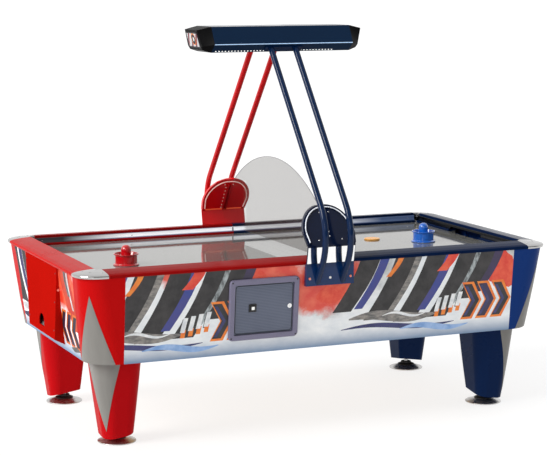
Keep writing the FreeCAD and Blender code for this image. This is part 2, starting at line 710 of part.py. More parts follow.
leg_solid = leg_body("leg_solid", size(0))
below_leg = box(
    "below_leg", (size(-200), size(200)), (size(-200), size(200)), (size(-100), size(0))
)
slant = group("slant", below_leg)
place(slant, d.leg_x, -d.leg_y, d.leg_foot_level, Rotation(across, DIMENSIONS["leg_foot_tilt"]))
stem_bore = rod("stem_bore", d.stem_radius + d.stem_fit, d.stem_bore_top, d.leg_x, -d.leg_y, 0)
leg_front_blue = cut("leg_front_blue", leg_solid, slant, stem_bore)
legs_blue = keep(group("legs_blue", leg_front_blue, mirror("leg_rear_blue", leg_front_blue, "Y")))
legs_red = keep(mirror("legs_red", legs_blue, "X"))

leg_skin = cut("leg_skin", leg_body("leg_skin_outer", d.inlay_thickness), leg_solid)
leg_wedge = diagonal_wedge(
    "leg_wedge", d.leg_start,
    [(d.leg_inlay_front, d.wall_bottom + 1), (d.leg_inlay_tip, d.leg_inlay_low),
     (d.leg_inlay_end, d.wall_bottom + 1)],
)
in_four_corners("leg_inlays", common("leg_inlay", leg_skin, leg_wedge))

tub_skin = cut("tub_skin", tub("tub_skin_outer", -d.inlay_thickness), tub_outside)
corner_wedge = diagonal_wedge(
    "corner_wedge", d.corner_start,
    [(d.corner_inlay_front, d.wall_bottom), (d.corner_inlay_end, d.wall_bottom),
     (d.corner_inlay_tip, d.corner_inlay_top)],
)
in_four_corners("corner_inlays", common("corner_inlay", tub_skin, corner_wedge))

FOOT_PROFILE = [
    (size(0), size(0)), (d.foot_radius, size(0)), (d.foot_radius, d.foot_rim, size(2)),
    (d.foot_neck_radius, d.foot_cone_top, size(8)), (d.foot_neck_radius, d.foot_collar, size(1.5)),
    (d.stem_radius, d.foot_collar), (d.stem_radius, d.stem_top), (size(0), d.stem_top),
]
for name, foot_x, foot_y in (
    ("foot_front_left", -d.leg_x, -d.leg_y), ("foot_front_right", d.leg_x, -d.leg_y),
    ("foot_rear_left", -d.leg_x, d.leg_y), ("foot_rear_right", d.leg_x, d.leg_y),
):
    keep(turned(name, FOOT_PROFILE, foot_x, foot_y, 0))


# ---------------------------------------------------------------- coin door, in the leaning front panel

PANEL_RISE = d.wall_top - d.wall_bottom
PANEL_SPREAD = d.tub_half_width_top - d.tub_half_width_low


def on_panel(item):
    """Leans a piece built flat (X along, Z up, -Y out) onto the front panel's outer face."""
    angle = math.degrees(math.atan2(PANEL_SPREAD.value, PANEL_RISE.value))
    item.Placement = Placement(Vector(), Rotation(AXES["X"], angle))
    bind(item, "Placement.Base.y", -d.tub_half_width_low)
    bind(item, "Placement.Base.z", d.wall_bottom)
    item.setExpression("Placement.Rotation.Angle", f"atan({PANEL_SPREAD.text} / {PANEL_RISE.text})")
    return item


def panel_rectangle(left, right, low, high, radius=None):
    corners = [(left, low), (right, low), (right, high), (left, high)]
    return [(*corner, size(radius)) for corner in corners] if radius else corners


sleeve_edges = (
    d.door_frame_left + d.sleeve_inset, d.door_frame_right - d.sleeve_inset,
    d.door_frame_low + d.sleeve_inset, d.door_frame_high - d.sleeve_inset,
)
opening = (
    d.door_frame_left + d.bezel_width, d.door_frame_right - d.bezel_width,
    d.door_frame_low + d.bezel_width, d.door_frame_high - d.bezel_width,
)
coin_cutout = on_panel(
    group("coin_cutout", box("coin_cutout_box", sleeve_edges[:2], (size(-40), size(60)), sleeve_edges[2:]))
)
front_panel = keep(cut("front_panel", front_wall, coin_cutout))

bezel_outer = prism(
    "bezel_outer", "XZ",
    panel_rectangle(d.door_frame_left, d.door_frame_right, d.door_frame_low, d.door_frame_high,
                    d.bezel_round),
    -d.bezel_depth, size(0),
)
bezel_front = -DIMENSIONS["bezel_depth"] + 0.1
bezel_soft = soften("bezel_soft", bezel_outer, 6, lambda bounds: bounds.YMax < bezel_front)
bezel_hole = prism("bezel_hole", "XZ", panel_rectangle(*opening, 8), size(-40), size(60))
sleeve_outer = box("sleeve_outer", sleeve_edges[:2], (size(0), d.sleeve_depth), sleeve_edges[2:])
sleeve_hole = box(
    "sleeve_hole", (sleeve_edges[0] + d.sleeve_wall, sleeve_edges[1] - d.sleeve_wall),
    (size(0.01), size(60)), (sleeve_edges[2] + d.sleeve_wall, sleeve_edges[3] - d.sleeve_wall),
)
sleeve = cut("sleeve", sleeve_outer, sleeve_hole)
door_left = opening[0] + d.hinge_gap
door_right = opening[1] - d.door_gap
door_low = opening[2] + d.door_gap
door_high = opening[3] - d.door_gap
pivot_x = door_left + d.pivot_inset
lug_low = box("lug_low", (pivot_x - 8, pivot_x + 8), (size(0), size(8)), (sleeve_edges[2], opening[2]))
lug_high = box("lug_high", (pivot_x - 8, pivot_x + 8), (size(0), size(8)), (opening[3], sleeve_edges[3]))
strike = box(
    "strike", (opening[1], sleeve_edges[1]), (size(0), d.door_thickness / 2 + 0.5),
    (d.lock_up - 20, d.lock_up + 20),
)
pin_low = rod("pin_low", d.pin_radius, d.pin_length, pivot_x, 0, door_low + 10 - d.pin_length)
pin_high = rod("pin_high", d.pin_radius, d.pin_length, pivot_x, 0, door_high - 10)
door_hinge_pins = keep(on_panel(group("door_hinge_pins", pin_low, pin_high)))
coin_door_frame = keep(
    on_panel(
        cut(
            "coin_door_frame",
            fuse("frame_parts", cut("bezel", bezel_soft, bezel_hole), cut("sleeve_ring", sleeve, bezel_hole),
                 lug_low, lug_high, strike),
            pin_low, pin_high,
        )
    )
)

half_door = d.door_thickness / 2
door_slab = prism(
    "door_slab", "XZ", panel_rectangle(door_left, door_right, door_low, door_high, 6), -half_door, half_door
)
pin_hole_low = rod("pin_hole_low", d.pin_radius + d.pin_fit, size(20), pivot_x, 0, door_low - 9)
pin_hole_high = rod("pin_hole_high", d.pin_radius + d.pin_fit, size(20), pivot_x, 0, door_high - 11)
lock_hole = rod(
    "lock_hole", d.lock_radius + d.lock_fit, size(40), d.lock_x, size(-20), d.lock_up, "Y"
)
throat_half = d.button_half + 3
throat_hole = box(
    "throat_hole", (d.button_x - throat_half, d.button_x + throat_half), (size(-20), size(20)),
    (d.button_up - throat_half, d.button_up + throat_half),
)
coin_door = keep(
    on_panel(cut("coin_door", door_slab, pin_hole_low, pin_hole_high, lock_hole, throat_hole))
)

lock_head = rod("lock_head", d.lock_radius + 2, size(3), d.lock_x, -half_door - 3, d.lock_up, "Y")
lock_barrel = rod("lock_barrel", d.lock_radius, d.door_thickness + 1, d.lock_x, -half_door - 1, d.lock_up,
                  "Y")
lock_cam = box(
    "lock_cam", (d.lock_x - 6, d.lock_x + 6), (half_door + 1, half_door + 4),
    (d.lock_up - 8, d.lock_up + d.cam_reach),
)
lock_neck = rod("lock_neck", size(5), size(4), d.lock_x, half_door - 1, d.lock_up, "Y")
key_slot = box(
    "key_slot", (d.lock_x - 1, d.lock_x + 1), (-half_door - 4, -half_door - 1),
    (d.lock_up - 5, d.lock_up + 5),
)
door_lock = keep(
    on_panel(
        cut("door_lock", fuse("lock_parts", lock_head, lock_barrel, lock_neck, lock_cam), key_slot)
    )
)

button_hole_half = d.button_half + d.button_clearance
coin_plate = box(
    "coin_plate", (d.button_x - d.button_frame_half, d.button_x + d.button_frame_half),
    (-half_door - 4, -half_door),
    (d.button_up - d.button_frame_half, d.button_up + d.button_frame_half),
)
coin_throat = box(
    "coin_throat", (d.button_x - throat_half, d.button_x + throat_half), (-half_door, half_door),
    (d.button_up - throat_half, d.button_up + throat_half),
)
coin_case = box(
    "coin_case", (d.button_x - 35, d.button_x + 35), (half_door, size(85)),
    (d.button_up - 40, d.button_up + 55),
)
button_shaft_hole = box(
    "button_shaft_hole", (d.button_x - button_hole_half, d.button_x + button_hole_half),
    (size(-20), size(30)), (d.button_up - button_hole_half, d.button_up + button_hole_half),
)
coin_drop = box(
    "coin_drop", (d.button_x - 8, d.button_x + 8), (size(45), size(60)),
    (d.button_up - 60, d.button_up + 10),
)
coin_mechanism = keep(
    on_panel(
        cut(
            "coin_mechanism", fuse("coin_parts", coin_plate, coin_throat, coin_case),
            button_shaft_hole, coin_drop,
        )
    )
)
button_block = box(
    "button_block", (d.button_x - d.button_half, d.button_x + d.button_half),
    (-half_door - 9, size(20)), (d.button_up - d.button_half, d.button_up + d.button_half),
)
button_front = -DIMENSIONS["door_thickness"] / 2 - 8.9
coin_button = keep(
    on_panel(soften("coin_button", button_block, 2, lambda bounds: bounds.YMax < button_front))
)

cash_floor_level = beam_top + d.base_board
cash_outer = box(
    "cash_outer", (d.cash_left, d.cash_right), (d.cash_front, d.cash_back), (cash_floor_level, d.cash_high)
)
cash_inside = box(
    "cash_inside", (d.cash_left + d.cash_sheet, d.cash_right - d.cash_sheet),
    (d.cash_front + d.cash_sheet, d.cash_back - d.cash_sheet),
    (cash_floor_level + d.cash_sheet, d.cash_high + 5),
)
cash_box = keep(cut("cash_box", cash_outer, cash_inside))

inlet_hole_box = box(
    "inlet_hole_box", (d.inlet_x - d.inlet_half_width, d.inlet_x + d.inlet_half_width),
    (size(-30), size(60)), (d.inlet_up - d.inlet_half_height, d.inlet_up + d.inlet_half_height),
)
inlet_hole = on_panel(group("inlet_hole", inlet_hole_box))
rear_wall = mirror("rear_wall", front_wall, "Y")
rear_panel = keep(cut("rear_panel", rear_wall, mirror("inlet_hole_rear", inlet_hole, "Y")))
inlet_flange = box(
    "inlet_flange", (d.inlet_x - d.inlet_half_width - 9, d.inlet_x + d.inlet_half_width + 9),
    (size(-4), size(0)), (d.inlet_up - d.inlet_half_height - 5, d.inlet_up + d.inlet_half_height + 5),
)
inlet_body = box(
    "inlet_body", (d.inlet_x - d.inlet_half_width, d.inlet_x + d.inlet_half_width), (size(0), size(30)),
    (d.inlet_up - d.inlet_half_height, d.inlet_up + d.inlet_half_height),
)
inlet_socket = box(
    "inlet_socket", (d.inlet_x - d.inlet_half_width + 5, d.inlet_x + d.inlet_half_width - 5),
    (size(-10), size(16)),
    (d.inlet_up - d.inlet_half_height + 4, d.inlet_up + d.inlet_half_height - 4),
)
inlet_front = on_panel(cut("inlet_front", fuse("inlet_parts", inlet_flange, inlet_body), inlet_socket))
power_inlet = keep(mirror("power_inlet", inlet_front, "Y"))

goal_lock_head = rod(
    "goal_lock_head", d.goal_lock_radius + 1, size(4), d.goal_lock_x, -d.goal_lock_face - 2,
    d.goal_lock_level, "Y",
)
goal_lock_barrel = rod(
    "goal_lock_barrel", d.goal_lock_radius, size(22), d.goal_lock_x, -d.goal_lock_face,
    d.goal_lock_level, "Y",
)
goal_key_slot = box(
    "goal_key_slot", (d.goal_lock_x - 0.7, d.goal_lock_x + 0.7),
    (-d.goal_lock_face - 3, -d.goal_lock_face - 1), (d.goal_lock_level - 3, d.goal_lock_level + 3),
)
goal_lock_right = keep(
    cut("goal_lock_right", fuse("goal_lock_parts", goal_lock_head, goal_lock_barrel), goal_key_slot)
)
goal_lock_left = keep(mirror("goal_lock_left", goal_lock_right, "X"))


# ---------------------------------------------------------------- gantry brackets and arms

def panel_face(height):
    """Distance of the leaning panel's outer face from the middle plane at a height."""
    return d.tub_half_width_low + PANEL_SPREAD * (size(height) - d.wall_bottom) / PANEL_RISE


SHIELD_IN = d.band_face - d.shield_apex
SHIELD_UP = d.shield_top - d.band_top
SHIELD_LENGTH = math.hypot(SHIELD_IN.value, SHIELD_UP.value)
BAND_OUT = d.band_face - d.plate_face
BAND_UP = d.band_top - d.plate_high
BAND_LENGTH = math.hypot(BAND_OUT.value, BAND_UP.value)


def shield_point(share, depth):
    """A point a share of the way up the leaning shield, at a depth square to its outer face."""
    return (
        d.band_face - SHIELD_IN * share - depth * SHIELD_UP / SHIELD_LENGTH,
        d.band_top + SHIELD_UP * share - depth * SHIELD_IN / SHIELD_LENGTH,
    )


def band_point(share, proud):
    """A point a share of the way up the leaning band, standing proud of its outer face."""
    return (
        d.plate_face + BAND_OUT * share + proud * BAND_UP / BAND_LENGTH,
        d.plate_high + BAND_UP * share - proud * BAND_OUT / BAND_LENGTH,
    )


def bend_inside():
    """The inner corner of the bent sheet, where the shield's and the band's inner faces meet."""
    shield_normal = Vector(-SHIELD_UP.value, -SHIELD_IN.value, 0) / SHIELD_LENGTH
    band_normal = Vector(-BAND_UP.value, BAND_OUT.value, 0) / BAND_LENGTH
    shift = (shield_normal + band_normal) / (1 + shield_normal.dot(band_normal))
    return (d.band_face + d.bracket_sheet * shift.x, d.band_top + d.bracket_sheet * shift.y, size(10))


bracket_sheet_solid = prism(
    "bracket_sheet_solid", "YZ",
    [
        (panel_face(d.plate_low), d.plate_low), (d.plate_face, d.plate_low), (d.plate_face, d.plate_high),
        (d.band_face, d.band_top, size(14)), shield_point(1, size(0)),
        shield_point(1, d.bracket_sheet), bend_inside(),
        (d.plate_face - d.bracket_sheet, d.wall_top), (panel_face(d.wall_top), d.wall_top),
    ],
    -d.shield_half_width, d.shield_half_width,
)
arch = [
    (-d.bracket_half_width, size(700)), (d.bracket_half_width, size(700)),
    (d.bracket_half_width, d.band_top), (d.shield_half_width, d.band_top + 50),
    (d.shield_half_width, d.shield_top + 4, d.shield_round),
    (-d.shield_half_width, d.shield_top + 4, d.shield_round),
    (-d.shield_half_width, d.band_top + 50), (-d.bracket_half_width, d.band_top),
]
inner_half = d.shield_half_width - d.rim_width
arch_inside = [
    (d.rim_width - d.bracket_half_width, size(650)), (d.bracket_half_width - d.rim_width, size(650)),
    (d.bracket_half_width - d.rim_width, d.band_top), (inner_half, d.band_top + 50),
    (inner_half, d.shield_top + 4 - d.rim_width, d.shield_round - d.rim_width),
    (-inner_half, d.shield_top + 4 - d.rim_width, d.shield_round - d.rim_width),
    (-inner_half, d.band_top + 50), (d.rim_width - d.bracket_half_width, d.band_top),
]
arch_prism = prism("arch_prism", "XZ", arch, size(500), size(800))
arch_inner_prism = prism("arch_inner_prism", "XZ", arch_inside, size(500), size(800))
rim_outside = -d.rim_depth / 2
rim_inside = d.bracket_sheet + d.rim_depth / 2
RIM_START = 0.03
RIM_END = 1.02
rim_slab = prism(
    "rim_slab", "YZ",
    [shield_point(RIM_START, rim_outside), shield_point(RIM_END, rim_outside),
     shield_point(RIM_END, rim_inside), shield_point(RIM_START, rim_inside)],
    -d.shield_half_width, d.shield_half_width,
)
rim = common("rim", rim_slab, cut("arch_ring", arch_prism, arch_inner_prism))
plate_screw_holes = [
    rod(f"plate_screw_hole_{index}", d.screw_shank, size(40), d.plate_screw_spacing * index, size(650),
        d.plate_screw_level, "Y")
    for index in (-1, 0, 1)
]
bracket_rear = keep(
    cut(
        "bracket_rear",
        fuse("bracket_parts", common("bracket_bent_sheet", bracket_sheet_solid, arch_prism), rim),
        *plate_screw_holes,
    )
)
bracket_front = keep(mirror("bracket_front", bracket_rear, "Y"))

trim_rear = prism(
    "trim_rear", "YZ",
    [band_point(0.02, size(0)), band_point(0.02, d.trim_sheet),
     band_point(0.92, d.trim_sheet), band_point(0.92, size(0))],
    3 - d.bracket_half_width, d.bracket_half_width - 3,
)
bracket_trims = keep(group("bracket_trims", trim_rear, mirror("trim_front", trim_rear, "Y")))

screw_set = []
for index in (-1, 0, 1):
    shank = rod(
        f"screw_shank_{index}", d.screw_shank, size(18), d.plate_screw_spacing * index,
        d.plate_face - 18, d.plate_screw_level, "Y",
    )
    head = rod(
        f"screw_head_{index}", d.plate_screw_head, size(3.5), d.plate_screw_spacing * index,
        d.plate_face, d.plate_screw_level, "Y",
    )
    screw_set.append(fuse(f"screw_{index}", shank, head))
screws_rear = group("screws_rear", *screw_set)
bracket_screws = keep(group("bracket_screws", screws_rear, mirror("screws_front", screws_rear, "Y")))


# The arm runs straight down and out from the lamp, bends, and comes back in to the plate.
top_lean = math.radians(DIMENSIONS["arm_top_lean"])
low_lean = math.radians(DIMENSIONS["arm_low_lean"])
lamp_slope_out = d.lamp_waist_half - d.lamp_bottom_half
lamp_slope_up = d.lamp_waist - d.lamp_bottom
slope_length = math.hypot(lamp_slope_out.value, lamp_slope_up.value)
plate_out = lamp_slope_up / slope_length
plate_down = lamp_slope_out / slope_length
lamp_seat_y = (d.lamp_bottom_half + d.lamp_waist_half) / 2
lamp_seat_z = (d.lamp_bottom + d.lamp_waist) / 2
arm_top_y = lamp_seat_y + d.head_plate * plate_out
arm_top_z = lamp_seat_z - d.head_plate * plate_down


def arm_path(name):
    top = Vector(arm_top_y.value, arm_top_z.value, 0)
    low = Vector(DIMENSIONS["arm_low_y"], DIMENSIONS["arm_low_z"], 0)
    down = Vector(math.sin(top_lean), -math.cos(top_lean), 0)
    up = Vector(math.sin(low_lean), math.cos(low_lean), 0)
    spread = low - top
    along = (spread.x * up.y - spread.y * up.x) / (down.x * up.y - down.y * up.x)
    corner = top + down * along
    turn = top_lean + low_lean
    reach = DIMENSIONS["arm_bend"] * math.tan(turn / 2)
    bend_start = corner - down * reach
    bend_end = corner - up * reach
    bisector = (-down - up).normalize()
    centre = corner + bisector * (DIMENSIONS["arm_bend"] / math.cos(turn / 2))
    middle = centre - bisector * DIMENSIONS["arm_bend"]
    sketch = add("Sketcher::SketchObject", name)
    upper = sketch.addGeometry(Part.LineSegment(top, bend_start))
    bend = sketch.addGeometry(Part.Arc(bend_start, middle, bend_end))
    lower = sketch.addGeometry(Part.LineSegment(bend_end, low))
    sketch.addConstraint(Sketcher.Constraint("Tangent", upper, 2, bend, 2))
    sketch.addConstraint(Sketcher.Constraint("Tangent", bend, 1, lower, 1))
    radius = sketch.addConstraint(Sketcher.Constraint("Radius", bend, DIMENSIONS["arm_bend"]))
    sketch.setExpression(f"Constraints[{radius}]", d.arm_bend.text)
    pin_down(sketch, upper, 1, (arm_top_y, arm_top_z))
    pin_down(sketch, lower, 2, (d.arm_low_y, d.arm_low_z))
    for line, alias, sign in ((upper, "arm_top_lean", -1), (lower, "arm_low_lean", 1)):
        angle = sketch.addConstraint(
            Sketcher.Constraint("Angle", line, math.radians(-90 - sign * DIMENSIONS[alias]))
        )
        text = f"(-90 - {sign} * Dimensions.{alias}) * 1 deg"
        sketch.setExpression(f"Constraints[{angle}]", text)
    return place(sketch, d.arm_spacing, 0, 0, PLANES["YZ"])


def arm_sweep(name, radius, path):
    ring = add("Part::Circle", name + "_ring")
    bind(ring, "Radius", radius)
    place(ring, d.arm_spacing, arm_top_y, arm_top_z,
          Rotation(AXES["Z"], Vector(0, math.sin(top_lean), -math.cos(top_lean))))
    return add(
        "Part::Sweep", name, Sections=[ring], Spine=(path, ["Edge1", "Edge2", "Edge3"]), Solid=True
    )


path = arm_path("arm_path")
arm_outer = arm_sweep("arm_outer", d.arm_radius, path)
arm_hollow = arm_sweep("arm_hollow", d.arm_radius - d.arm_wall, path)
inside_plate = box("inside_plate", (size(0), size(100)), (size(600), d.plate_face), (size(600), size(830)))
arm_rear_right = cut("arm_rear_right", arm_outer, arm_hollow, inside_plate)
head_plate = box(
    "head_plate_rear", (-d.head_plate_half, d.head_plate_half), (size(-17), size(17)),
    (-d.head_plate, size(0)),
)
slope_angle = math.degrees(math.atan2(lamp_slope_up.value, lamp_slope_out.value))
head_plate.Placement = Placement(Vector(), Rotation(AXES["X"], slope_angle))
seat_shift = Rotation(AXES["X"], slope_angle).multVec(Vector(0, -17, -DIMENSIONS["head_plate"]))
bind(head_plate, "Placement.Base.x", -d.head_plate_half)
bind(head_plate, "Placement.Base.y", lamp_seat_y + seat_shift.y)
bind(head_plate, "Placement.Base.z", lamp_seat_z + seat_shift.z)
arms_rear = keep(
    group("arms_rear", arm_rear_right, mirror("arm_rear_left", arm_rear_right, "X"), head_plate)
)
arms_front = keep(mirror("arms_front", arms_rear, "Y"))

channel_face = d.bracket_sheet + d.channel_depth
screen_edge = d.bracket_sheet + d.screen_wall_gap
channel_slab = prism(
    "channel_slab", "YZ",
    [shield_point(0.06, d.bracket_sheet), shield_point(0.86, d.bracket_sheet),
     shield_point(0.86, channel_face), shield_point(0.06, channel_face)],
    -d.channel_half, d.channel_half,
)
channel_slot = box(
    "channel_slot", (-d.screen_half, d.screen_half), (size(400), size(720)), (size(880), size(1200))
)
channel_back = prism(
    "channel_back", "YZ",
    [shield_point(0, d.bracket_sheet), shield_point(1, d.bracket_sheet),
     shield_point(1, screen_edge), shield_point(0, screen_edge)],
    -d.channel_half, d.channel_half,
)
channel_rear = cut("channel_rear", channel_slab, cut("channel_throat", channel_slot, channel_back))
screen_channels = keep(group("screen_channels", channel_rear, mirror("channel_front", channel_rear, "Y")))

screen_foot = shield_point(0, screen_edge)
screen_head = shield_point(1.3, screen_edge)
screen_side = [
    (d.screen_inner, d.screen_low), (d.screen_inner, d.screen_over_rail),
    (d.plate_face - 10, d.screen_over_rail, size(12)), screen_foot, screen_head,
    (screen_head[0], d.screen_apex + 20),
]
screen_blank = prism(
    "screen_blank", "YZ",
    screen_side + [(-size(y), z, *rest) for y, z, *rest in reversed(screen_side)],
    -d.screen_half, d.screen_half,
)
screen_arc = rod(
    "screen_arc", d.screen_radius, d.screen_half * 2, -d.screen_half, 0,
    d.screen_apex - d.screen_radius, "X",
)
centre_screen = keep(common("centre_screen", screen_blank, screen_arc))


# ---------------------------------------------------------------- overhead lamp unit

skin = d.cover_sheet
lamp_cover_rear = keep(
    prism(
        "lamp_cover_rear", "YZ",
        [
            (size(0), d.lamp_top), (size(0), d.lamp_top - skin), (d.lamp_top_half - skin * 0.6,
             d.lamp_top - skin), (d.lamp_waist_half - skin * 1.15, d.lamp_waist),
            (d.lamp_bottom_half - skin * 0.4, d.lamp_bottom + skin),
            (d.diffuser_half_width + 12, d.lamp_bottom + skin), (d.diffuser_half_width + 12, d.lamp_bottom),
            (d.lamp_bottom_half, d.lamp_bottom, size(4)), (d.lamp_waist_half, d.lamp_waist, size(3)),
            (d.lamp_top_half, d.lamp_top, size(7)),
        ],
        -d.lamp_half_length, d.lamp_half_length,
    )
)
lamp_cover_front = keep(mirror("lamp_cover_front", lamp_cover_rear, "Y"))
bottom_plate = box(
    "bottom_plate", (-d.lamp_half_length, d.lamp_half_length),
    (-d.diffuser_half_width - 12, d.diffuser_half_width + 12), (d.lamp_bottom, d.lamp_bottom + skin),
)
lamp_window = box(
    "lamp_window", (-d.diffuser_half_length, d.diffuser_half_length),
    (-d.diffuser_half_width, d.diffuser_half_width), (d.lamp_bottom - 1, d.lamp_bottom + skin + 1),
)
lamp_bottom_plate = keep(cut("lamp_bottom_plate", bottom_plate, lamp_window))
lamp_diffuser = keep(
    box(
        "lamp_diffuser", (-d.diffuser_half_length, d.diffuser_half_length),
        (-d.diffuser_half_width, d.diffuser_half_width), (d.lamp_bottom + 0.5, d.lamp_bottom + skin),
    )
)
tube_y = d.diffuser_half_width / 2
tube = rod("lamp_tube", size(13), size(600), size(-300), tube_y, d.lamp_bottom + 45, "X")
holder = box(
    "lamp_holder", (size(300), size(312)), (-d.diffuser_half_width - 8, d.diffuser_half_width + 8),
    (d.lamp_bottom + skin, d.lamp_bottom + 64),
)
tube_pair = group("tube_pair", tube, mirror("lamp_tube_front", tube, "Y"))
lamp_tubes = keep(group("lamp_tubes", tube_pair, holder, mirror("lamp_holder_left", holder, "X")))

cap_rise = d.cap_end_top - d.cap_end_low
cap_turn = math.degrees(math.atan2(DIMENSIONS["cap_lean"], cap_rise.value))
cap_slant = math.hypot(DIMENSIONS["cap_lean"], cap_rise.value)
cap_low_x = d.lamp_cap_end - d.cap_lean
cap_rotation = Rotation(AXES["Y"], cap_turn).multiply(PLANES["YZ"])
cap_root = sketch_on(
    "cap_root", "YZ",
    [
        (-d.lamp_bottom_half, d.lamp_bottom), (d.lamp_bottom_half, d.lamp_bottom),
        (d.lamp_waist_half, d.lamp_waist), (d.lamp_top_half, d.lamp_top),
        (-d.lamp_top_half, d.lamp_top), (-d.lamp_waist_half, d.lamp_waist),
    ],
    x=d.lamp_half_length,
)
cap_tip = add("Sketcher::SketchObject", "cap_tip")
outline(
    cap_tip,
    [
        (12 - d.cap_end_low_half, size(0)), (d.cap_end_low_half - 12, size(0)),
        (d.cap_end_low_half + 4, size(18)), (d.cap_end_top_half, size(cap_slant)),
        (-d.cap_end_top_half, size(cap_slant)), (-d.cap_end_low_half - 4, size(18)),
    ],
)
place(cap_tip, cap_low_x, 0, d.cap_end_low, cap_rotation)
cap_right = loft("cap_right", [cap_root, cap_tip], ruled=True)
lamp_end_caps = keep(group("lamp_end_caps", cap_right, mirror("cap_left", cap_right, "X")))

display_outline = add("Sketcher::SketchObject", "display_outline")
outline(
    display_outline,
    [
        (10 - d.cap_end_low_half, size(10), size(4)), (d.cap_end_low_half - 10, size(10), size(4)),
        (d.cap_end_top_half - 8, size(cap_slant - 12), size(4)),
        (8 - d.cap_end_top_half, size(cap_slant - 12), size(4)),
    ],
)
place(display_outline, cap_low_x, 0, d.cap_end_low, cap_rotation)
display_right = add(
    "Part::Extrusion", "display_right", Base=display_outline, DirMode="Normal", Solid=True
)
bind(display_right, "LengthFwd", size(2))
end_displays = keep(group("end_displays", display_right, mirror("display_left", display_right, "X")))


# ---------------------------------------------------------------- mallets and puck

field_glide = d.field_level + d.glide
MALLET_PROFILE = [
    (size(0), size(14)), (size(47), size(14), size(5)), (size(47), size(0)),
    (d.mallet_flange, size(0)), (d.mallet_flange, size(5), size(2)), (d.mallet_wall, size(9), size(3)),
    (d.mallet_wall, size(48), size(4)), (d.mallet_rim, size(52), size(1.5)),
    (d.mallet_rim, size(57), size(1.5)), (d.mallet_rim - 5, size(57), size(2)),
    (size(45), size(30), size(10)), (d.knob_radius, size(26), size(6)),
    (d.knob_radius, size(98), d.knob_radius - 1), (size(0), size(98)),
]
mallet_red = keep(turned("mallet_red", MALLET_PROFILE, -d.mallet_red_x, d.mallet_red_y, field_glide))
mallet_blue = keep(turned("mallet_blue", MALLET_PROFILE, d.mallet_blue_x, d.mallet_blue_y, field_glide))
puck = keep(
    turned(
        "puck",
        [(size(0), size(0)), (d.puck_radius, size(0), size(1)), (d.puck_radius, d.puck_thickness, size(2)),
         (size(0), d.puck_thickness)],
        d.puck_x, d.puck_y, field_glide,
    )
)


# ---------------------------------------------------------------- checks and export

doc.recompute()
for item in doc.Objects:
    faults = {"Invalid", "Error"} & set(item.State)
    if faults:
        raise RuntimeError(f"{item.Name} did not build: {sorted(faults)}")
for item in exported:
    if item.Shape.isNull() or not item.Shape.isValid() or not item.Shape.Solids:
        raise RuntimeError(f"{item.Name} has no valid solid")

os.makedirs("parts", exist_ok=True)
for item in exported:
    item.Shape.exportStep(f"parts/{item.Label}.step")
print(f"{len(exported)} sub-parts written")
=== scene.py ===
import json
import math

import bpy
import bmesh
from mathutils import Matrix, Vector, noise
from mathutils.bvhtree import BVHTree
from mathutils.geometry import delaunay_2d_cdt


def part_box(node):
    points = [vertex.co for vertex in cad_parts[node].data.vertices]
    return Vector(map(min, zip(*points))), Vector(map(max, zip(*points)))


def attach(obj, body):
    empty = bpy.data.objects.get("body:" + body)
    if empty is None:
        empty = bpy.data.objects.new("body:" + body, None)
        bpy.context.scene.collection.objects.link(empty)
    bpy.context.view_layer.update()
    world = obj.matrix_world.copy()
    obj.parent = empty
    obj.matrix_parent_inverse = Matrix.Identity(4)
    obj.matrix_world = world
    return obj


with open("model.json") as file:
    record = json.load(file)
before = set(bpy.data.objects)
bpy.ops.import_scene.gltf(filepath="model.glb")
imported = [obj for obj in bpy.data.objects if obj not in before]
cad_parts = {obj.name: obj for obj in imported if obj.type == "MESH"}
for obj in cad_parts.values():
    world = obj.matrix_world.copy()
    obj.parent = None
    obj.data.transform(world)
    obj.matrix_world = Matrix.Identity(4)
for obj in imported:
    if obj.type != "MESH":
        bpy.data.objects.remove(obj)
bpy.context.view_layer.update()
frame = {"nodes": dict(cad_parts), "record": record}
nodes = frame["nodes"]

MM = 0.001
CM = 0.01
SCREEN_TINT = 0.30
PEEL = 0.03 * MM       # depth of orange peel in paint and of print grain
BRUSHING = 0.02 * MM   # depth of brushed lines in metal


# ---------------------------------------------------------------- material building

def rgb(red, green, blue):
    """A colour given by its 0-255 display values, as shaders want it."""
    parts = (c / 255 for c in (red, green, blue))
    return (*(p / 12.92 if p < 0.04 else ((p + 0.055) / 1.055) ** 2.4 for p in parts), 1.0)


class Nodes:
    """The node tree of a material or a world."""

    def __init__(self, owner):
        owner.use_nodes = True
        self.tree = owner.node_tree

    def node(self, kind, inputs=None, **settings):
        made = self.tree.nodes.new("ShaderNode" + kind)
        for key, value in settings.items():
            setattr(made, key, value)
        for socket, value in (inputs or {}).items():
            self.join(made.inputs[socket], value)
        return made

    def join(self, socket, value):
        if isinstance(value, bpy.types.NodeSocket):
            self.tree.links.new(value, socket)
        else:
            socket.default_value = value


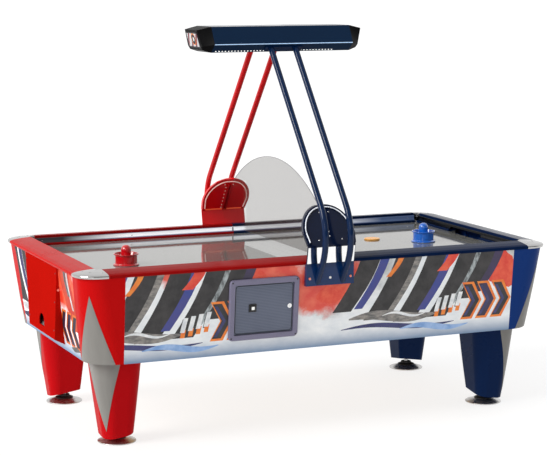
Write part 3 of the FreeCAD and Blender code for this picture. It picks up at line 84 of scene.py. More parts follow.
class Finish(Nodes):
    """One procedural material, built node by node in the table's own coordinates."""

    def __init__(self, name, **settings):
        self.material = bpy.data.materials.new(name)
        super().__init__(self.material)
        self.shader = self.tree.nodes["Principled BSDF"]
        self.where = self.node("TexCoord").outputs["Object"]
        self.set(**settings)

    def set(self, **settings):
        for key, value in settings.items():
            name = key.replace("_", " ").title().replace("Ior", "IOR")
            self.join(self.shader.inputs[name], value)

    def math(self, operation, first, second=0.0):
        return self.node("Math", {0: first, 1: second}, operation=operation).outputs[0]

    def wrap(self, value, half):
        """The value folded into the range from -half to half."""
        return self.node("Math", {0: value, 1: half, 2: -half}, operation="WRAP").outputs[0]

    def length(self, first, second):
        """How far a point given by two coordinates is from the origin."""
        squares = [self.math("MULTIPLY", value, value) for value in (first, second)]
        return self.math("SQRT", self.math("ADD", *squares))

    def axis(self, letter):
        return self.node("SeparateXYZ", {0: self.where}).outputs[letter]

    def noise(self, scale, detail=3.0, stretch=None, roughness=0.5):
        place = self.where
        if stretch:
            place = self.node("Mapping", {"Vector": self.where, "Scale": stretch}).outputs[0]
        inputs = {"Vector": place, "Scale": scale, "Detail": detail, "Roughness": roughness}
        return self.node("TexNoise", inputs).outputs["Fac"]

    def span(self, value, low, high, to_low=0.0, to_high=1.0):
        """The value carried from one range to another and held at its ends."""
        inputs = {"Value": value, 1: low, 2: high, 3: to_low, 4: to_high}
        return self.node("MapRange", inputs, clamp=True).outputs[0]

    def mix(self, share, first, second):
        made = self.node("Mix", data_type="RGBA")
        self.join(made.inputs[0], share)
        self.join(made.inputs[6], first)
        self.join(made.inputs[7], second)
        return made.outputs[2]

    def bump(self, height, distance, strength=1.0):
        inputs = {"Height": height, "Distance": distance, "Strength": strength}
        self.set(normal=self.node("Bump", inputs).outputs[0])

    def grain(self, scale, depth, strength, detail=2, stretch=None):
        """Fine relief all over the surface."""
        self.bump(self.noise(scale, detail, stretch), depth, strength)

    def haze(self, scale, detail, low, high, reach=0.7):
        """Patches of glossier and duller surface, between two values of roughness."""
        self.set(roughness=self.span(self.noise(scale, detail), 0.3, reach, low, high))


def tinted(finish, colour, darker, lighter, scale):
    """A colour with slow drift and a fine fleck, so that no surface is one flat value."""
    slow = finish.span(finish.noise(scale, 4), 0.3, 0.7)
    fleck = finish.span(finish.noise(scale * 130, 2), 0.35, 0.65)
    drift = finish.mix(slow, darker, colour)
    return finish.mix(finish.math("MULTIPLY", fleck, 0.35), drift, lighter)


def shade(colour, factor):
    """A darker or lighter tone of a colour."""
    return (*(min(1.0, c * factor) for c in colour[:3]), 1.0)


def lacquer(name, colour, gloss=0.12, rough=0.3, coat=0.0):
    """Sprayed paint: faint orange peel, hazy patches in the gloss and slow colour drift."""
    made = Finish(name, specular_ior_level=gloss, coat_weight=coat, coat_roughness=0.04)
    made.set(base_color=tinted(made, colour, shade(colour, 0.92), shade(colour, 1.12), 3.0))
    made.haze(9, 5, rough - 0.06, rough + 0.08, 0.75)
    made.grain(420, PEEL, 0.6)
    return made.material


def polished_metal(name, colour, rough=0.09, grain=None):
    """Polished metal with wipe marks; a grain stretch turns them into fine brushed lines."""
    made = Finish(name, metallic=1.0)
    marks = made.noise(60, 6, grain or (1, 1, 1), 0.62)
    made.set(base_color=made.mix(marks, shade(colour, 0.9), shade(colour, 1.06)))
    made.set(roughness=made.span(marks, 0.25, 0.75, rough * 0.6, rough * 1.7))
    if grain:
        made.grain(240, BRUSHING, 0.5, 3, grain)
    return made.material


def moulded(name, colour, rough=0.45, grain=900, gloss=0.45):
    """Moulded plastic with a fine spark-eroded grain."""
    made = Finish(name, specular_ior_level=gloss)
    made.set(base_color=tinted(made, colour, shade(colour, 0.88), shade(colour, 1.2), 6.0))
    made.haze(25, 4, rough - 0.07, rough + 0.07)
    made.grain(grain, 0.05 * MM, 0.5)
    return made.material


def laminate(name, colour):
    """Satin grey plastic laminate with a pressed grain and a slight brushed drift up the leg."""
    made = Finish(name, specular_ior_level=0.25)
    streak = made.noise(20, 4, (1, 1, 0.12))
    made.set(base_color=made.mix(made.span(streak, 0.3, 0.7), shade(colour, 0.92), shade(colour, 1.06)))
    made.haze(30, 4, 0.34, 0.48)
    made.grain(1400, PEEL, 0.4)
    return made.material


def plywood(name, pale, dark):
    """Sanded wood with its figure and darker lines running along the table."""
    made = Finish(name, roughness=0.7)
    figure = made.noise(7, 6, (0.25, 2.2, 2.2), 0.6)
    lines = made.noise(60, 4, (0.06, 1.5, 1.5))
    colour = made.mix(made.span(figure, 0.35, 0.68), dark, pale)
    made.set(base_color=made.mix(made.math("MULTIPLY", lines, 0.3), colour, shade(dark, 0.7)))
    made.bump(lines, 0.2 * MM, 0.5)
    return made.material


def ring_dots(finish, pitch, radius):
    """1 on a square grid of small round holes across X and Y, and 0 elsewhere."""
    offsets = [finish.wrap(finish.axis(letter), pitch / 2) for letter in "XY"]
    return finish.span(finish.length(*offsets), radius, radius * 1.25, 1.0, 0.0)


def playfield():
    """Polished grey laminate drilled with the air grid, its holes painted dark as painted shade inside them,
    and the dark line across the middle.
    """
    made = Finish("playfield", specular_ior_level=0.5, metallic=0.38)
    grey = made.mix(made.span(made.noise(2.2, 4), 0.3, 0.7), rgb(134, 134, 130), rgb(144, 144, 140))
    fleck = made.math("MULTIPLY", made.span(made.noise(900, 2), 0.4, 0.7), 0.2)
    grey = made.mix(fleck, grey, rgb(120, 118, 116))
    line = made.span(made.math("ABSOLUTE", made.axis("X")), 1.2 * MM, 1.6 * MM, 1.0, 0.0)
    grey = made.mix(line, grey, rgb(50, 48, 52))
    holes = ring_dots(made, 25 * MM, 0.5 * MM)
    # painted shade: the air holes dark, as the shade inside them
    made.set(base_color=made.mix(holes, grey, rgb(38, 38, 38)))
    scuffs = made.noise(14, 7, (1, 4, 1), 0.7)
    made.set(roughness=made.span(scuffs, 0.3, 0.75, 0.03, 0.09))
    made.bump(holes, -0.4 * MM)
    return made.material


def ribbed_door():
    """Slate paint over sheet steel rolled with fine level ribs, painted lighter along the rib crests as
    painted highlight.
    """
    made = Finish("door_slate", specular_ior_level=0.5, metallic=0.25)
    ribs = made.node("TexWave", {"Vector": made.where, "Scale": 42.0, "Distortion": 0.35, "Detail": 2.0},
                     bands_direction="Z").outputs["Fac"]
    base = made.mix(made.span(made.noise(5, 4), 0.3, 0.7), rgb(72, 79, 98), rgb(88, 95, 113))
    # painted highlight: lighter along the crests of the ribs
    made.set(base_color=made.mix(made.math("MULTIPLY", ribs, 0.45), base, rgb(124, 130, 146)))
    made.haze(40, 4, 0.32, 0.46)
    made.bump(ribs, 0.6 * MM, 0.7)
    return made.material


def powder_coat(name, colour, edge=None):
    """Finely pebbled powder coat."""
    made = Finish(name, specular_ior_level=0.5)
    made.set(base_color=tinted(made, colour, shade(colour, 0.9), edge or shade(colour, 1.25), 8.0))
    made.haze(30, 4, 0.3, 0.42)
    made.grain(700, 0.08 * MM, 0.6, 3)
    return made.material


def clear_sheet():
    """Clear sheet with wipe marks and a grey tint that fades out towards the rear bracket."""
    made = Finish("clear_screen", ior=1.45, specular_ior_level=0.35)
    middle = made.span(made.axis("Y"), 0.36, 0.41, 1.0, 0.12)
    above = made.span(made.axis("Z"), 1.07, 1.11, 0.0, 1.0)
    made.set(alpha=made.math("MULTIPLY", made.math("MAXIMUM", middle, above), SCREEN_TINT))
    made.set(base_color=made.mix(made.noise(5, 3), rgb(62, 54, 48), rgb(74, 66, 60)))
    made.haze(12, 6, 0.08, 0.16, 0.8)
    made.grain(3, 0.4 * MM, 0.3)
    return made.material


def cushion_band():
    """Bright-dipped aluminium band with painted light: a painted highlight down its middle, painted shade on
    its rolled edges, painted reflections darker and bluer towards the ends, and a glow of its own.
    """
    made = Finish("cushion_alu", metallic=0.3, specular_ior_level=0.5, emission_strength=0.6)
    low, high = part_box("side_cushions")
    up = made.math("DIVIDE", made.math("SUBTRACT", made.axis("Z"), low.z), high.z - low.z)
    marks = made.noise(24, 5, (0.3, 1, 1), 0.6)
    # painted highlight: the middle of the band near white, with wipe marks in it
    bright = made.mix(marks, rgb(226, 230, 238), rgb(248, 249, 252))
    # painted shade on the rolled lower and upper edges
    tone = made.mix(made.span(up, 0.06, 0.32), rgb(72, 74, 112), bright)
    tone = made.mix(made.span(up, 0.84, 0.99), tone, rgb(66, 52, 84))
    # painted reflections: dark towards the red end, bluish towards the blue end
    along = made.axis("X")
    tone = made.mix(made.span(along, -0.95, -0.6), rgb(48, 44, 48), tone)
    tone = made.mix(made.span(along, 0.5, 0.9), tone, rgb(64, 80, 112))
    # the painted tones glow as well, at the emission strength set above
    made.set(base_color=tone, emission_color=tone)
    made.set(roughness=made.span(marks, 0.3, 0.75, 0.14, 0.24))
    made.grain(160, BRUSHING, 0.4, 2, (0.2, 1, 1))
    return made.material


def bracket_coat(name, plate, shield):
    """Gloss powder coat, its lower plate painted a lighter tone than the leaning shield: painted light for
    the plate catching more light.
    """
    made = Finish(name, specular_ior_level=0.22, coat_weight=0.25, coat_roughness=0.04)
    # the plate's tone below, the shield's tone above; where they differ, the lighter plate is painted light
    rise = made.span(made.axis("Z"), 0.8, 0.87)
    tones = [tinted(made, tone, shade(tone, 0.9), shade(tone, 1.15), 4.0) for tone in (plate, shield)]
    made.set(base_color=made.mix(rise, *tones))
    made.haze(9, 5, 0.1, 0.2, 0.75)
    made.grain(420, PEEL, 0.5)
    return made.material


def channel_paint():
    """The screen's channels, sprayed to match the bracket that each one is on."""
    made = Finish("channel_paint", specular_ior_level=0.2)
    side = made.span(made.axis("Y"), -0.01, 0.01)
    red = tinted(made, rgb(176, 14, 20), rgb(160, 12, 18), rgb(190, 18, 24), 5.0)
    made.set(base_color=made.mix(side, rgb(8, 20, 46), red))
    made.haze(9, 5, 0.2, 0.32, 0.75)
    made.grain(420, PEEL, 0.5)
    return made.material


def end_display():
    """Printed display window: a dark puck ringed in orange over slanting red and grey bars."""
    made = Finish("end_display", coat_weight=0.05, coat_roughness=0.05, roughness=0.4,
                  specular_ior_level=0.1)
    low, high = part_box("end_displays")
    up = made.math("SUBTRACT", made.axis("Z"), low.z * 0.45 + high.z * 0.55)
    across = made.math("ADD", made.axis("Y"), 12 * MM)
    slant = made.math("ADD", across, made.math("MULTIPLY", up, 0.6))
    bars = made.wrap(slant, 26 * MM)
    tone = made.mix(made.noise(30, 4), rgb(206, 206, 206), rgb(176, 176, 178))
    for start, colour in ((4.5, rgb(120, 28, 40)), (19.5, rgb(92, 96, 108))):
        tone = made.mix(made.span(bars, (start - 0.5) * MM, (start + 0.5) * MM), tone, colour)
    radius = made.length(across, up)
    for rim, colour in ((29, rgb(232, 130, 44)), (25, rgb(40, 30, 40)), (10, rgb(210, 210, 208))):
        inside = made.span(radius, (rim - 0.2) * MM, (rim + 0.2) * MM, 1.0, 0.0)
        tone = made.mix(inside, tone, colour)
    off_middle = made.math("ABSOLUTE", made.math("SUBTRACT", made.axis("Z"), (low.z + high.z) / 2))
    wide = made.math("DIVIDE", made.math("ABSOLUTE", made.axis("Y")), high.y)
    tall = made.math("DIVIDE", off_middle, (high.z - low.z) / 2)
    border = made.span(made.math("MAXIMUM", wide, tall), 0.8, 0.83)
    made.set(base_color=made.mix(border, tone, rgb(30, 28, 32)))
    made.grain(260, PEEL, 0.4)
    return made.material


def opal_or_painted_highlight(name, colour, glow):
    """Milky plastic with a weak glow of its own, also used for painted highlights: edges and small parts that
    glow though they are no lamps.
    """
    made = Finish(name, emission_color=colour, emission_strength=glow)
    made.set(base_color=tinted(made, colour, shade(colour, 0.95), shade(colour, 1.02), 20.0))
    made.haze(50, 3, 0.4, 0.55)
    return made.material


chrome = polished_metal("chrome", (0.82, 0.82, 0.82, 1), 0.07)
steel = polished_metal("bright_steel", (0.6, 0.6, 0.6, 1), 0.2)
black_plastic = moulded("black_plastic", rgb(30, 30, 32))

# slot: colour, gloss, roughness and clear coat
PAINTS = {
    "red_paint": (rgb(182, 12, 13), 0.02),
    "blue_paint": (rgb(22, 52, 112), 0.03),
    "goal_red": (rgb(164, 16, 9), 0.0),
    "goal_blue": (rgb(16, 40, 88), 0.0),
    "rail_red": (rgb(142, 13, 13), 0.015, 0.22),
    "rail_blue": (rgb(8, 26, 58), 0.015, 0.16),
    "leg_red": (rgb(174, 12, 18), 0.02),
    "leg_blue": (rgb(9, 30, 66), 0.04),
    "arm_blue": (rgb(6, 30, 64), 0.16, 0.1, 0.12),
    "arm_red": (rgb(190, 12, 20), 0.2, 0.14, 0.2),
    "lamp_navy": (rgb(14, 36, 62), 0.1, 0.16),
    "mallet_red": (rgb(190, 10, 22), 0.5, 0.1, 0.8),
    "mallet_blue": (rgb(20, 100, 200), 0.5, 0.1, 0.8),
}
# slot: colour, roughness and the stretch of its brushed lines
METALS = {
    "zinc_sheet": ((0.55, 0.57, 0.58, 1), 0.35),
    "chrome_caps": ((0.5, 0.495, 0.49, 1), 0.12),
    "cushion_dark": ((0.014, 0.014, 0.017, 1), 0.14, (1, 0.05, 1)),
    "impeller_alu": ((0.5, 0.51, 0.52, 1), 0.32),
    "foot_chrome": ((0.62, 0.61, 0.6, 1), 0.3),
    "polished_trim": ((0.95, 0.95, 0.95, 1), 0.03),
}
SLOT_FINISH = {
    **{slot: lacquer(slot, *look) for slot, look in PAINTS.items()},
    **{slot: polished_metal(slot, *look) for slot, look in METALS.items()},
    "side_panel": lacquer("panel_edge", rgb(224, 224, 226)),
    "cushion_alu": cushion_band(),
    "playfield": playfield(),
    "plywood": plywood("birch_ply", rgb(214, 184, 140), rgb(176, 138, 92)),
    "pine": plywood("softwood", rgb(224, 192, 142), rgb(190, 146, 94)),
    "black_sheet": powder_coat("black_sheet", rgb(34, 34, 36)),
    "motor_grey": powder_coat("motor_grey", rgb(92, 95, 98)),
    "grey_inlay": laminate("grey_inlay", rgb(122, 120, 116)),
    "door_frame": powder_coat("door_frame", rgb(104, 100, 124), rgb(150, 146, 172)),
    "door_slate": ribbed_door(),
    "steel": steel,
    "lock_chrome": chrome,
    "screw_heads": chrome,
    "black_plastic": black_plastic,
    "button": moulded("button", rgb(30, 30, 32), 0.35),
    # one navy paint: its plate's lighter tone and its shield's darker tone are painted light and painted
    # shade
    "bracket_blue": bracket_coat("bracket_blue", rgb(9, 44, 92), rgb(8, 20, 46)),
    "bracket_red": bracket_coat("bracket_red", rgb(224, 20, 26), rgb(224, 20, 26)),
    "channel_alu": channel_paint(),
    "clear_screen": clear_sheet(),
    "lamp_white": powder_coat("lamp_white", rgb(228, 228, 226)),
    "diffuser": opal_or_painted_highlight("diffuser", rgb(244, 244, 236), 0.35),
    "lamp_tube": opal_or_painted_highlight("lamp_tube", rgb(250, 250, 244), 1.2),
    "cap_black": moulded("cap_black", rgb(15, 15, 16), 0.42, gloss=0.03),
    "display": end_display(),
    "puck_orange": moulded("puck_orange", rgb(255, 180, 84), 0.3, 500),
}
for part in frame["record"]["subparts"]:
    mesh = nodes[part["node"]].data
    mesh.materials.clear()
    mesh.materials.append(SLOT_FINISH[part["material_slot"]])
# the red end rail has a lacquer of its own, a lighter red than the side rails: painted light where the key
# light falls on the red end
nodes["end_rail_red"].data.materials[0] = lacquer("end_rail_red", rgb(182, 20, 15), 0.015, 0.22)


# ---------------------------------------------------------------- geometry helpers

def placed(name, data):
    """A new object in the scene."""
    made = bpy.data.objects.new(name, data)
    bpy.context.scene.collection.objects.link(made)
    return made


def piece(name, points, faces, body, finishes, face_finish=None, smooth=None):
    """A mesh object in the table's frame that rides on a CAD body."""
    mesh = bpy.data.meshes.new(name)
    mesh.from_pydata([tuple(p) for p in points], [], faces)
    for finish in finishes:
        mesh.materials.append(finish)
    if face_finish:
        mesh.polygons.foreach_set("material_index", face_finish)
    mesh.validate()
    if smooth is not None:
        mesh.shade_smooth()
        mesh.set_sharp_from_angle(angle=math.radians(smooth))
    made = placed(name, mesh)
    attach(made, body)
    return made


def rounded(corners, closed=False, steps=6):
    """A path through (a, b[, radius]) corners with its rounded ones turned into arcs."""
    path = []
    count = len(corners)
    for index, (a, b, *radius) in enumerate(corners):
        here = Vector((a, b))
        inner = closed or 0 < index < count - 1
        if not radius or not inner:
            path.append(here)
            continue
        back = (Vector(corners[index - 1][:2]) - here).normalized()
        on = (Vector(corners[(index + 1) % count][:2]) - here).normalized()
        half = back.angle(on) / 2
        reach = radius[0] / math.tan(half)
        centre = here + (back + on).normalized() * (radius[0] / math.sin(half))
        start = here + back * reach - centre
        sweep = start.angle_signed(here + on * reach - centre)
        for step in range(steps + 1):
            turn = Matrix.Rotation(-sweep * step / steps, 2)
            path.append(centre + turn @ start)
    return path


def lathe(profile, place, segments):
    """Points and faces of a turned shape; place maps (x, y, z) about its own axis to the frame."""
    points, faces, rings = [], [], []
    for radius, height in profile:
        if radius < 1e-7:
            rings.append([len(points)])
            points.append(place(0, 0, height))
            continue
        ring = []
        for step in range(segments):
            angle = math.tau * step / segments
            ring.append(len(points))
            points.append(place(radius * math.cos(angle), radius * math.sin(angle), height))
        rings.append(ring)
    for low, high in zip(rings, rings[1:]):
        for step in range(segments):
            after = (step + 1) % segments
            corners = [low[step % len(low)], low[after % len(low)], high[after % len(high)],
                       high[step % len(high)]]
            face = list(dict.fromkeys(corners))
            if len(face) > 2:
                faces.append(face)
    return points, faces


def standing(x, y, z):
    """Places a turned shape upright at a point."""
    return lambda a, b, c: Vector((x + a, y + b, z + c))


def facing(centre, outward):
    """Places a turned shape with its axis along a direction."""
    turn = Vector((0, 0, 1)).rotation_difference(Vector(outward)).to_matrix()
    middle = Vector(centre)
    return lambda a, b, c: middle + turn @ Vector((a, b, c))


def many_turned(name, profile, places, body, finish, segments=20, smooth=35):
    """The same small turned shape at several places, as one piece."""
    points, faces = [], []
    for place in places:
        more, rings = lathe(profile, place, segments)
        faces += [[corner + len(points) for corner in face] for face in rings]
        points += more
    piece(name, points, faces, body, [finish], smooth=smooth)


def surface(node, direction):
    """Where a ray first meets a CAD node."""
    tree = BVHTree.FromObject(nodes[node], bpy.context.evaluated_depsgraph_get())
    return lambda point: tree.ray_cast(Vector(point), Vector(direction))[0]


# ---------------------------------------------------------------- printed artwork

def smooth_ring(corners, steps):
    """A closed Catmull-Rom curve through the corners."""
    ring = []
    count = len(corners)
    for index in range(count):
        before, start, end, after = (Vector(corners[(index + k) % count]) for k in (-1, 0, 1, 2))
        for step in range(steps):
            t = step / steps
            ring.append(
                0.5 * (2 * start + (end - before) * t + (2 * before - 5 * start + 4 * end - after) * t ** 2
                       + (3 * start - before - 3 * end + after) * t ** 3)
            )
    return ring


def torn_ring(corners):
    """A closed curve with the ragged edge of thrown paint."""
    depth = 0.9
    ring = smooth_ring(corners, 14)
    centre = sum(ring, Vector((0, 0))) / len(ring)
    torn = []
    for point in ring:
        wave = noise.noise(Vector((point.x * 0.55, point.y * 0.55, 3.1)))
        wave += 0.6 * noise.noise(Vector((point.x * 1.7, point.y * 1.7, 8.4)))
        torn.append(point + (point - centre).normalized() * depth * wave)
    return torn


def ink(name, colour, second, scale, stretch, film):
    """Printed ink under clear film: two tones run into each other, with a fine print grain."""
    made = Finish("ink_" + name, coat_weight=film, coat_roughness=0.06, roughness=0.38,
                  specular_ior_level=film)
    blend = made.span(made.noise(scale, 5, stretch, 0.6), 0.36, 0.64)
    grain = made.span(made.noise(1300, 1), 0.35, 0.65, 0.0, 0.14)
    tone = made.mix(blend, colour, second)
    made.set(base_color=made.mix(grain, tone, shade(second, 0.8)))
    made.grain(260, PEEL, 0.4)
    return made.material


def print_ground(name, across, reds, smokes, mirror=1, film=0.5):
    """The printed backdrop: cold white, blue at the foot, soft red clouds and grey smoke."""
    made = Finish(name, coat_weight=film, coat_roughness=0.06, roughness=0.38, specular_ior_level=film)
    sideways = made.math("MULTIPLY", made.axis(across), mirror / CM)
    up = made.math("DIVIDE", made.math("SUBTRACT", made.axis("Z"), PRINT_FOOT), CM)
    wisps = made.noise(11, 7, (1, 1, 1.6), 0.62)
    tone = made.mix(made.span(wisps, 0.3, 0.75), rgb(214, 219, 224), rgb(242, 243, 243))
    wander = made.math("MULTIPLY", made.math("SUBTRACT", made.noise(7, 6, None, 0.65), 0.5), 1.9)

    def cloud(x, y, wide, high, soft):
        along = made.math("DIVIDE", made.math("SUBTRACT", sideways, x), wide)
        rise = made.math("DIVIDE", made.math("SUBTRACT", up, y), high)
        edge = made.math("ADD", made.length(along, rise), wander)
        return made.span(edge, 1.0 - soft, 1.0 + soft, 1.0, 0.0)

    for spot in smokes:
        smoke_tone = made.mix(made.span(wisps, 0.4, 0.62), rgb(120, 122, 118), rgb(196, 198, 194))
        tone = made.mix(made.math("MULTIPLY", cloud(*spot, 0.5), 0.75), tone, smoke_tone)
    for spot in reds:
        red_tone = made.mix(made.span(made.noise(16, 5), 0.35, 0.65), rgb(214, 52, 34),
                            rgb(226, 96, 66))
        tone = made.mix(cloud(*spot, 0.22), tone, red_tone)
    foot = made.math("POWER", made.span(up, 0.5, 9.0, 1.0, 0.0), 1.3)
    made.set(base_color=made.mix(foot, tone, rgb(84, 118, 156)))
    made.grain(260, PEEL, 0.4)
    return made.material


# artwork is drawn in centimetres, along the panel and up from a level just under the print's foot
PRINT_LOW = 0.8
PRINT_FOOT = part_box("front_panel")[0].z - PRINT_LOW * CM
PRINT_HIGH = (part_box("front_panel")[1].z - PRINT_FOOT) / CM
SIDE_FILM = 0.34
END_FILM = 0.05

# ink: scale and stretch of its blotches, two tones on the long sides, and two darker tones on the ends as
# painted shade
PLAIN = (1, 1, 1)
TONES = {
    "black": (14, PLAIN, (24, 22, 24), (52, 49, 50), (24, 22, 26), (48, 44, 50)),
    "steel": (26, (1, 1, 2.5), (88, 88, 88), (150, 144, 138), (60, 60, 62), (104, 100, 98)),
    "glint": (60, (1, 1, 0.5), (70, 74, 76), (170, 178, 180), (44, 44, 50), (112, 112, 116)),
    "white": (30, PLAIN, (240, 240, 240), (206, 210, 214), (206, 206, 208), (168, 170, 174)),
    "blue": (9, PLAIN, (44, 62, 140), (72, 66, 128), (30, 38, 92), (52, 40, 84)),
    "plum": (9, PLAIN, (58, 44, 84), (44, 38, 58), (44, 30, 58), (32, 26, 44)),
    "sky": (16, PLAIN, (110, 150, 205), (160, 188, 226)),
    "navy": (18, PLAIN, (38, 44, 92), (60, 62, 112), (24, 28, 64), (42, 42, 80)),
    "red": (16, PLAIN, (212, 46, 32), (228, 92, 60), (176, 34, 22), (190, 66, 38)),
    "orange": (22, PLAIN, (238, 140, 46), (226, 108, 34), (204, 108, 34), (190, 84, 26)),
}
SIDE_INKS = {}
SHADED_END_INKS = {}
for name, (scale, stretch, *tones) in TONES.items():
    pairs = [(rgb(*a), rgb(*b)) for a, b in zip(tones[::2], tones[1::2])]
    SIDE_INKS[name] = ink(name, *pairs[0], scale, stretch, SIDE_FILM)
    # the end inks are darker copies of the side inks: painted shade
    if len(pairs) > 1:
        SHADED_END_INKS[name] = ink("end_" + name, *pairs[1], scale, stretch, END_FILM)


def chevron(x, y, width, high, thick):
    """A slanted arrowhead bar."""
    half = high / 2
    return [(x, y), (x + thick, y), (x + thick + width, y + half), (x + thick, y + high), (x, y + high),
            (x + width, y + half)]


def outlined_chevrons(x, y, count, high=19.0):
    """Dark arrowheads with a bright orange edge."""
    layers = []
    for index in range(count):
        start = x + index * 8.4
        layers.append(("orange", chevron(start, y, 5.0, high, 6.6)))
        layers.append(("plum" if index % 2 else "black", chevron(start + 1.0, y + 1.1, 4.7, high - 2.2, 4.6)))
        layers.append(("navy", chevron(start + 1.9, y + 1.9, 4.4, (high - 3.8) * 0.98, 1.6)))
    return layers


def speed_dashes(x, y, count):
    """Leaning white dashes over an orange shadow."""
    layers = []
    for index in range(count):
        left = x + index * 3.9
        low = y + index * 0.7
        dash = [(left, low), (left + 2.3, low), (left + 4.0, low + 7.0), (left + 1.7, low + 7.0)]
        foot = [(left + 0.1, low - 2.6), (left + 2.3, low - 2.6), (left + 3.0, low + 1.2),
                (left + 0.8, low + 1.2)]
        layers += [("black", [(a - 0.4, b - 0.5) for a, b in dash]), ("orange", foot), ("white", dash)]
    return layers


def leaning_band(x, low, wide, lean=0.5):
    """A slightly bowed band that leans towards the blue end and runs off the top of the print."""
    high, bow, count = 48, 2.0, 6
    left, right = [], []
    for step in range(count + 1):
        share = step / count
        y = low + (high - low) * share
        edge = x + lean * (y - low) + bow * math.sin(math.pi * share)
        left.append((edge, y))
        right.append((edge + wide * (0.9 + 0.1 * share), y))
    return right + left[::-1]


def ribbon(start, end, y, high, wave=1.2):
    """A level ribbon that waves once along its length and tapers at both ends."""
    count = 16
    upper, lower = [], []
    for step in range(count + 1):
        share = step / count
        x = start + (end - start) * share
        middle = y + wave * math.sin(math.tau * share)
        half = high / 2 * math.sin(math.pi * (0.04 + 0.92 * share))
        upper.append((x, middle + half))
        lower.append((x, middle - half))
    return lower + upper[::-1]


# each band's ink, start along the panel, foot and width, in the order they are printed
FAN = [("black", 3, 17, 11), ("blue", 14.4, 18, 5), ("black", 19.8, 12, 12), ("steel", 32.2, 15, 3.6),
       ("black", 36, 10, 12.6), ("blue", 49, 15, 5), ("black", 54.4, 11, 12), ("glint", 66.8, 17, 3.2),
       ("black", 70.4, 19, 9), ("plum", 79.8, 22, 5), ("orange", 31, 33, 3), ("red", 59, 34, 6)]
# each ribbon's ink, start, end, level and height
RIBBONS = [("steel", 12, 60, 13.0, 5.5), ("white", 30, 54, 13.6, 1.4), ("navy", 8, 70, 8.0, 2.6),
           ("sky", 40, 78, 6.2, 3.2)]


def action_group(x):
    """One repeat of a plain racing print: leaning bands, ribbons below them, arrowheads and dashes."""
    layers = [("red", torn_ring([(a + x, b) for a, b in corners]))
              for corners in ([(-6, 26), (4, 22), (14, 30), (24, 36), (10, 38)],
                              [(78, 46), (94, 44), (104, 34), (102, 24), (90, 26)])]
    layers += [(name, leaning_band(x + start, low, wide)) for name, start, low, wide in FAN]
    layers += [(name, ribbon(x + start, x + end, y, high)) for name, start, end, y, high in RIBBONS]
    layers += outlined_chevrons(x + 73.5, 8.2, 3)
    layers += speed_dashes(x + 58.5, 13.5, 4)
    return layers


def flipped_layers(layers):
    """The same artwork mirrored, for the far side."""
    return [(name, [(-p[0], p[1]) for p in ring]) for name, ring in layers]


class Shape:
    """A closed outline that can tell whether a point lies inside it."""

    def __init__(self, ring):
        self.sides = list(zip(ring, ring[1:] + ring[:1]))
        self.low = Vector((min(p.x for p in ring), min(p.y for p in ring)))
        self.high = Vector((max(p.x for p in ring), max(p.y for p in ring)))

    def holds(self, point):
        if not (self.low.x <= point.x <= self.high.x and self.low.y <= point.y <= self.high.y):
            return False
        crossings = 0
        for a, b in self.sides:
            if (a.y > point.y) != (b.y > point.y):
                crossings += point.x < a.x + (b.x - a.x) * (point.y - a.y) / (b.y - a.y)
        return crossings % 2 == 1


def printed_sheet(name, outline, layers, ground, place, rows=(), inks=SIDE_INKS):
    """One thin sheet cut along the outlines printed on it, each stretch with its own ink.

    Rows are levels at which the sheet gets an edge right across, so that it can bend there.
    """
    names = [None, *(n for n, _ in layers)]
    points, rings = [], []
    for ring in [outline, *(ring for _, ring in layers)]:
        rings.append(list(range(len(points), len(points) + len(ring))))
        points += [Vector(p) for p in ring]
    edges = [(a, b) for ring in rings for a, b in zip(ring, ring[1:] + ring[:1])]
    for height in rows:
        edges.append((len(points), len(points) + 1))
        points += [Vector((outline[0][0], height)), Vector((outline[1][0], height))]
    flat, _, triangles, _, _, _ = delaunay_2d_cdt(points, edges, [], 0, 1e-5)
    shapes = [Shape([points[k] for k in ring]) for ring in rings]
    used = ["ground", *sorted({n for n, _ in layers if n != "hole"})]
    faces, finish_of = [], []
    for triangle in triangles:
        middle = sum((flat[k] for k in triangle), Vector((0, 0))) / 3
        top = max((k for k, shape in enumerate(shapes) if shape.holds(middle)), default=-1)
        if not shapes[0].holds(middle) or names[top] == "hole":
            continue
        faces.append(triangle)
        finish_of.append(used.index(names[top] or "ground"))
    finishes = [ground if n == "ground" else inks[n] for n in used]
    kept = sorted({corner for face in faces for corner in face})
    order = {corner: index for index, corner in enumerate(kept)}
    faces = [[order[corner] for corner in face] for face in faces]
    points = [place(flat[k].x * CM, PRINT_FOOT + flat[k].y * CM) for k in kept]
    made = piece(name, points, faces, "table", finishes, finish_of)
    made.data.flip_normals()
    return made


LIFT = 0.4 * MM        # how far a print stands off its panel
LEAN_SPAN = 40 * CM
END_PROBE = 0.45       # clear of the goal boxes
REPEAT = -133.5        # where the artwork's second repeat starts

front_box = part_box("front_panel")
panel_hit = surface("front_panel", (0, 1, 0))
probe = 0.9 * front_box[0].x
low_face = panel_hit((probe, -1, PRINT_FOOT + CM)).y
high_face = panel_hit((probe, -1, PRINT_FOOT + CM + LEAN_SPAN)).y
lean = (high_face - low_face) / LEAN_SPAN
end_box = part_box("left_end_panel")
end_hit = surface("left_end_panel", (1, 0, 0))


def on_front(x, z):
    return Vector((x, low_face + lean * (z - PRINT_FOOT - CM) - LIFT, z))


def on_rear(x, z):
    point = on_front(x, z)
    return Vector((x, -point.y, z))


def on_left_end(y, z):
    seam = min(max(z, end_box[0].z + MM), end_box[1].z - MM)
    face = end_hit((-2, END_PROBE if y > 0 else -END_PROBE, seam)).x
    return Vector((face - LIFT, y, z))


def on_right_end(y, z):
    point = on_left_end(y, z)
    return Vector((-point.x, y, z))


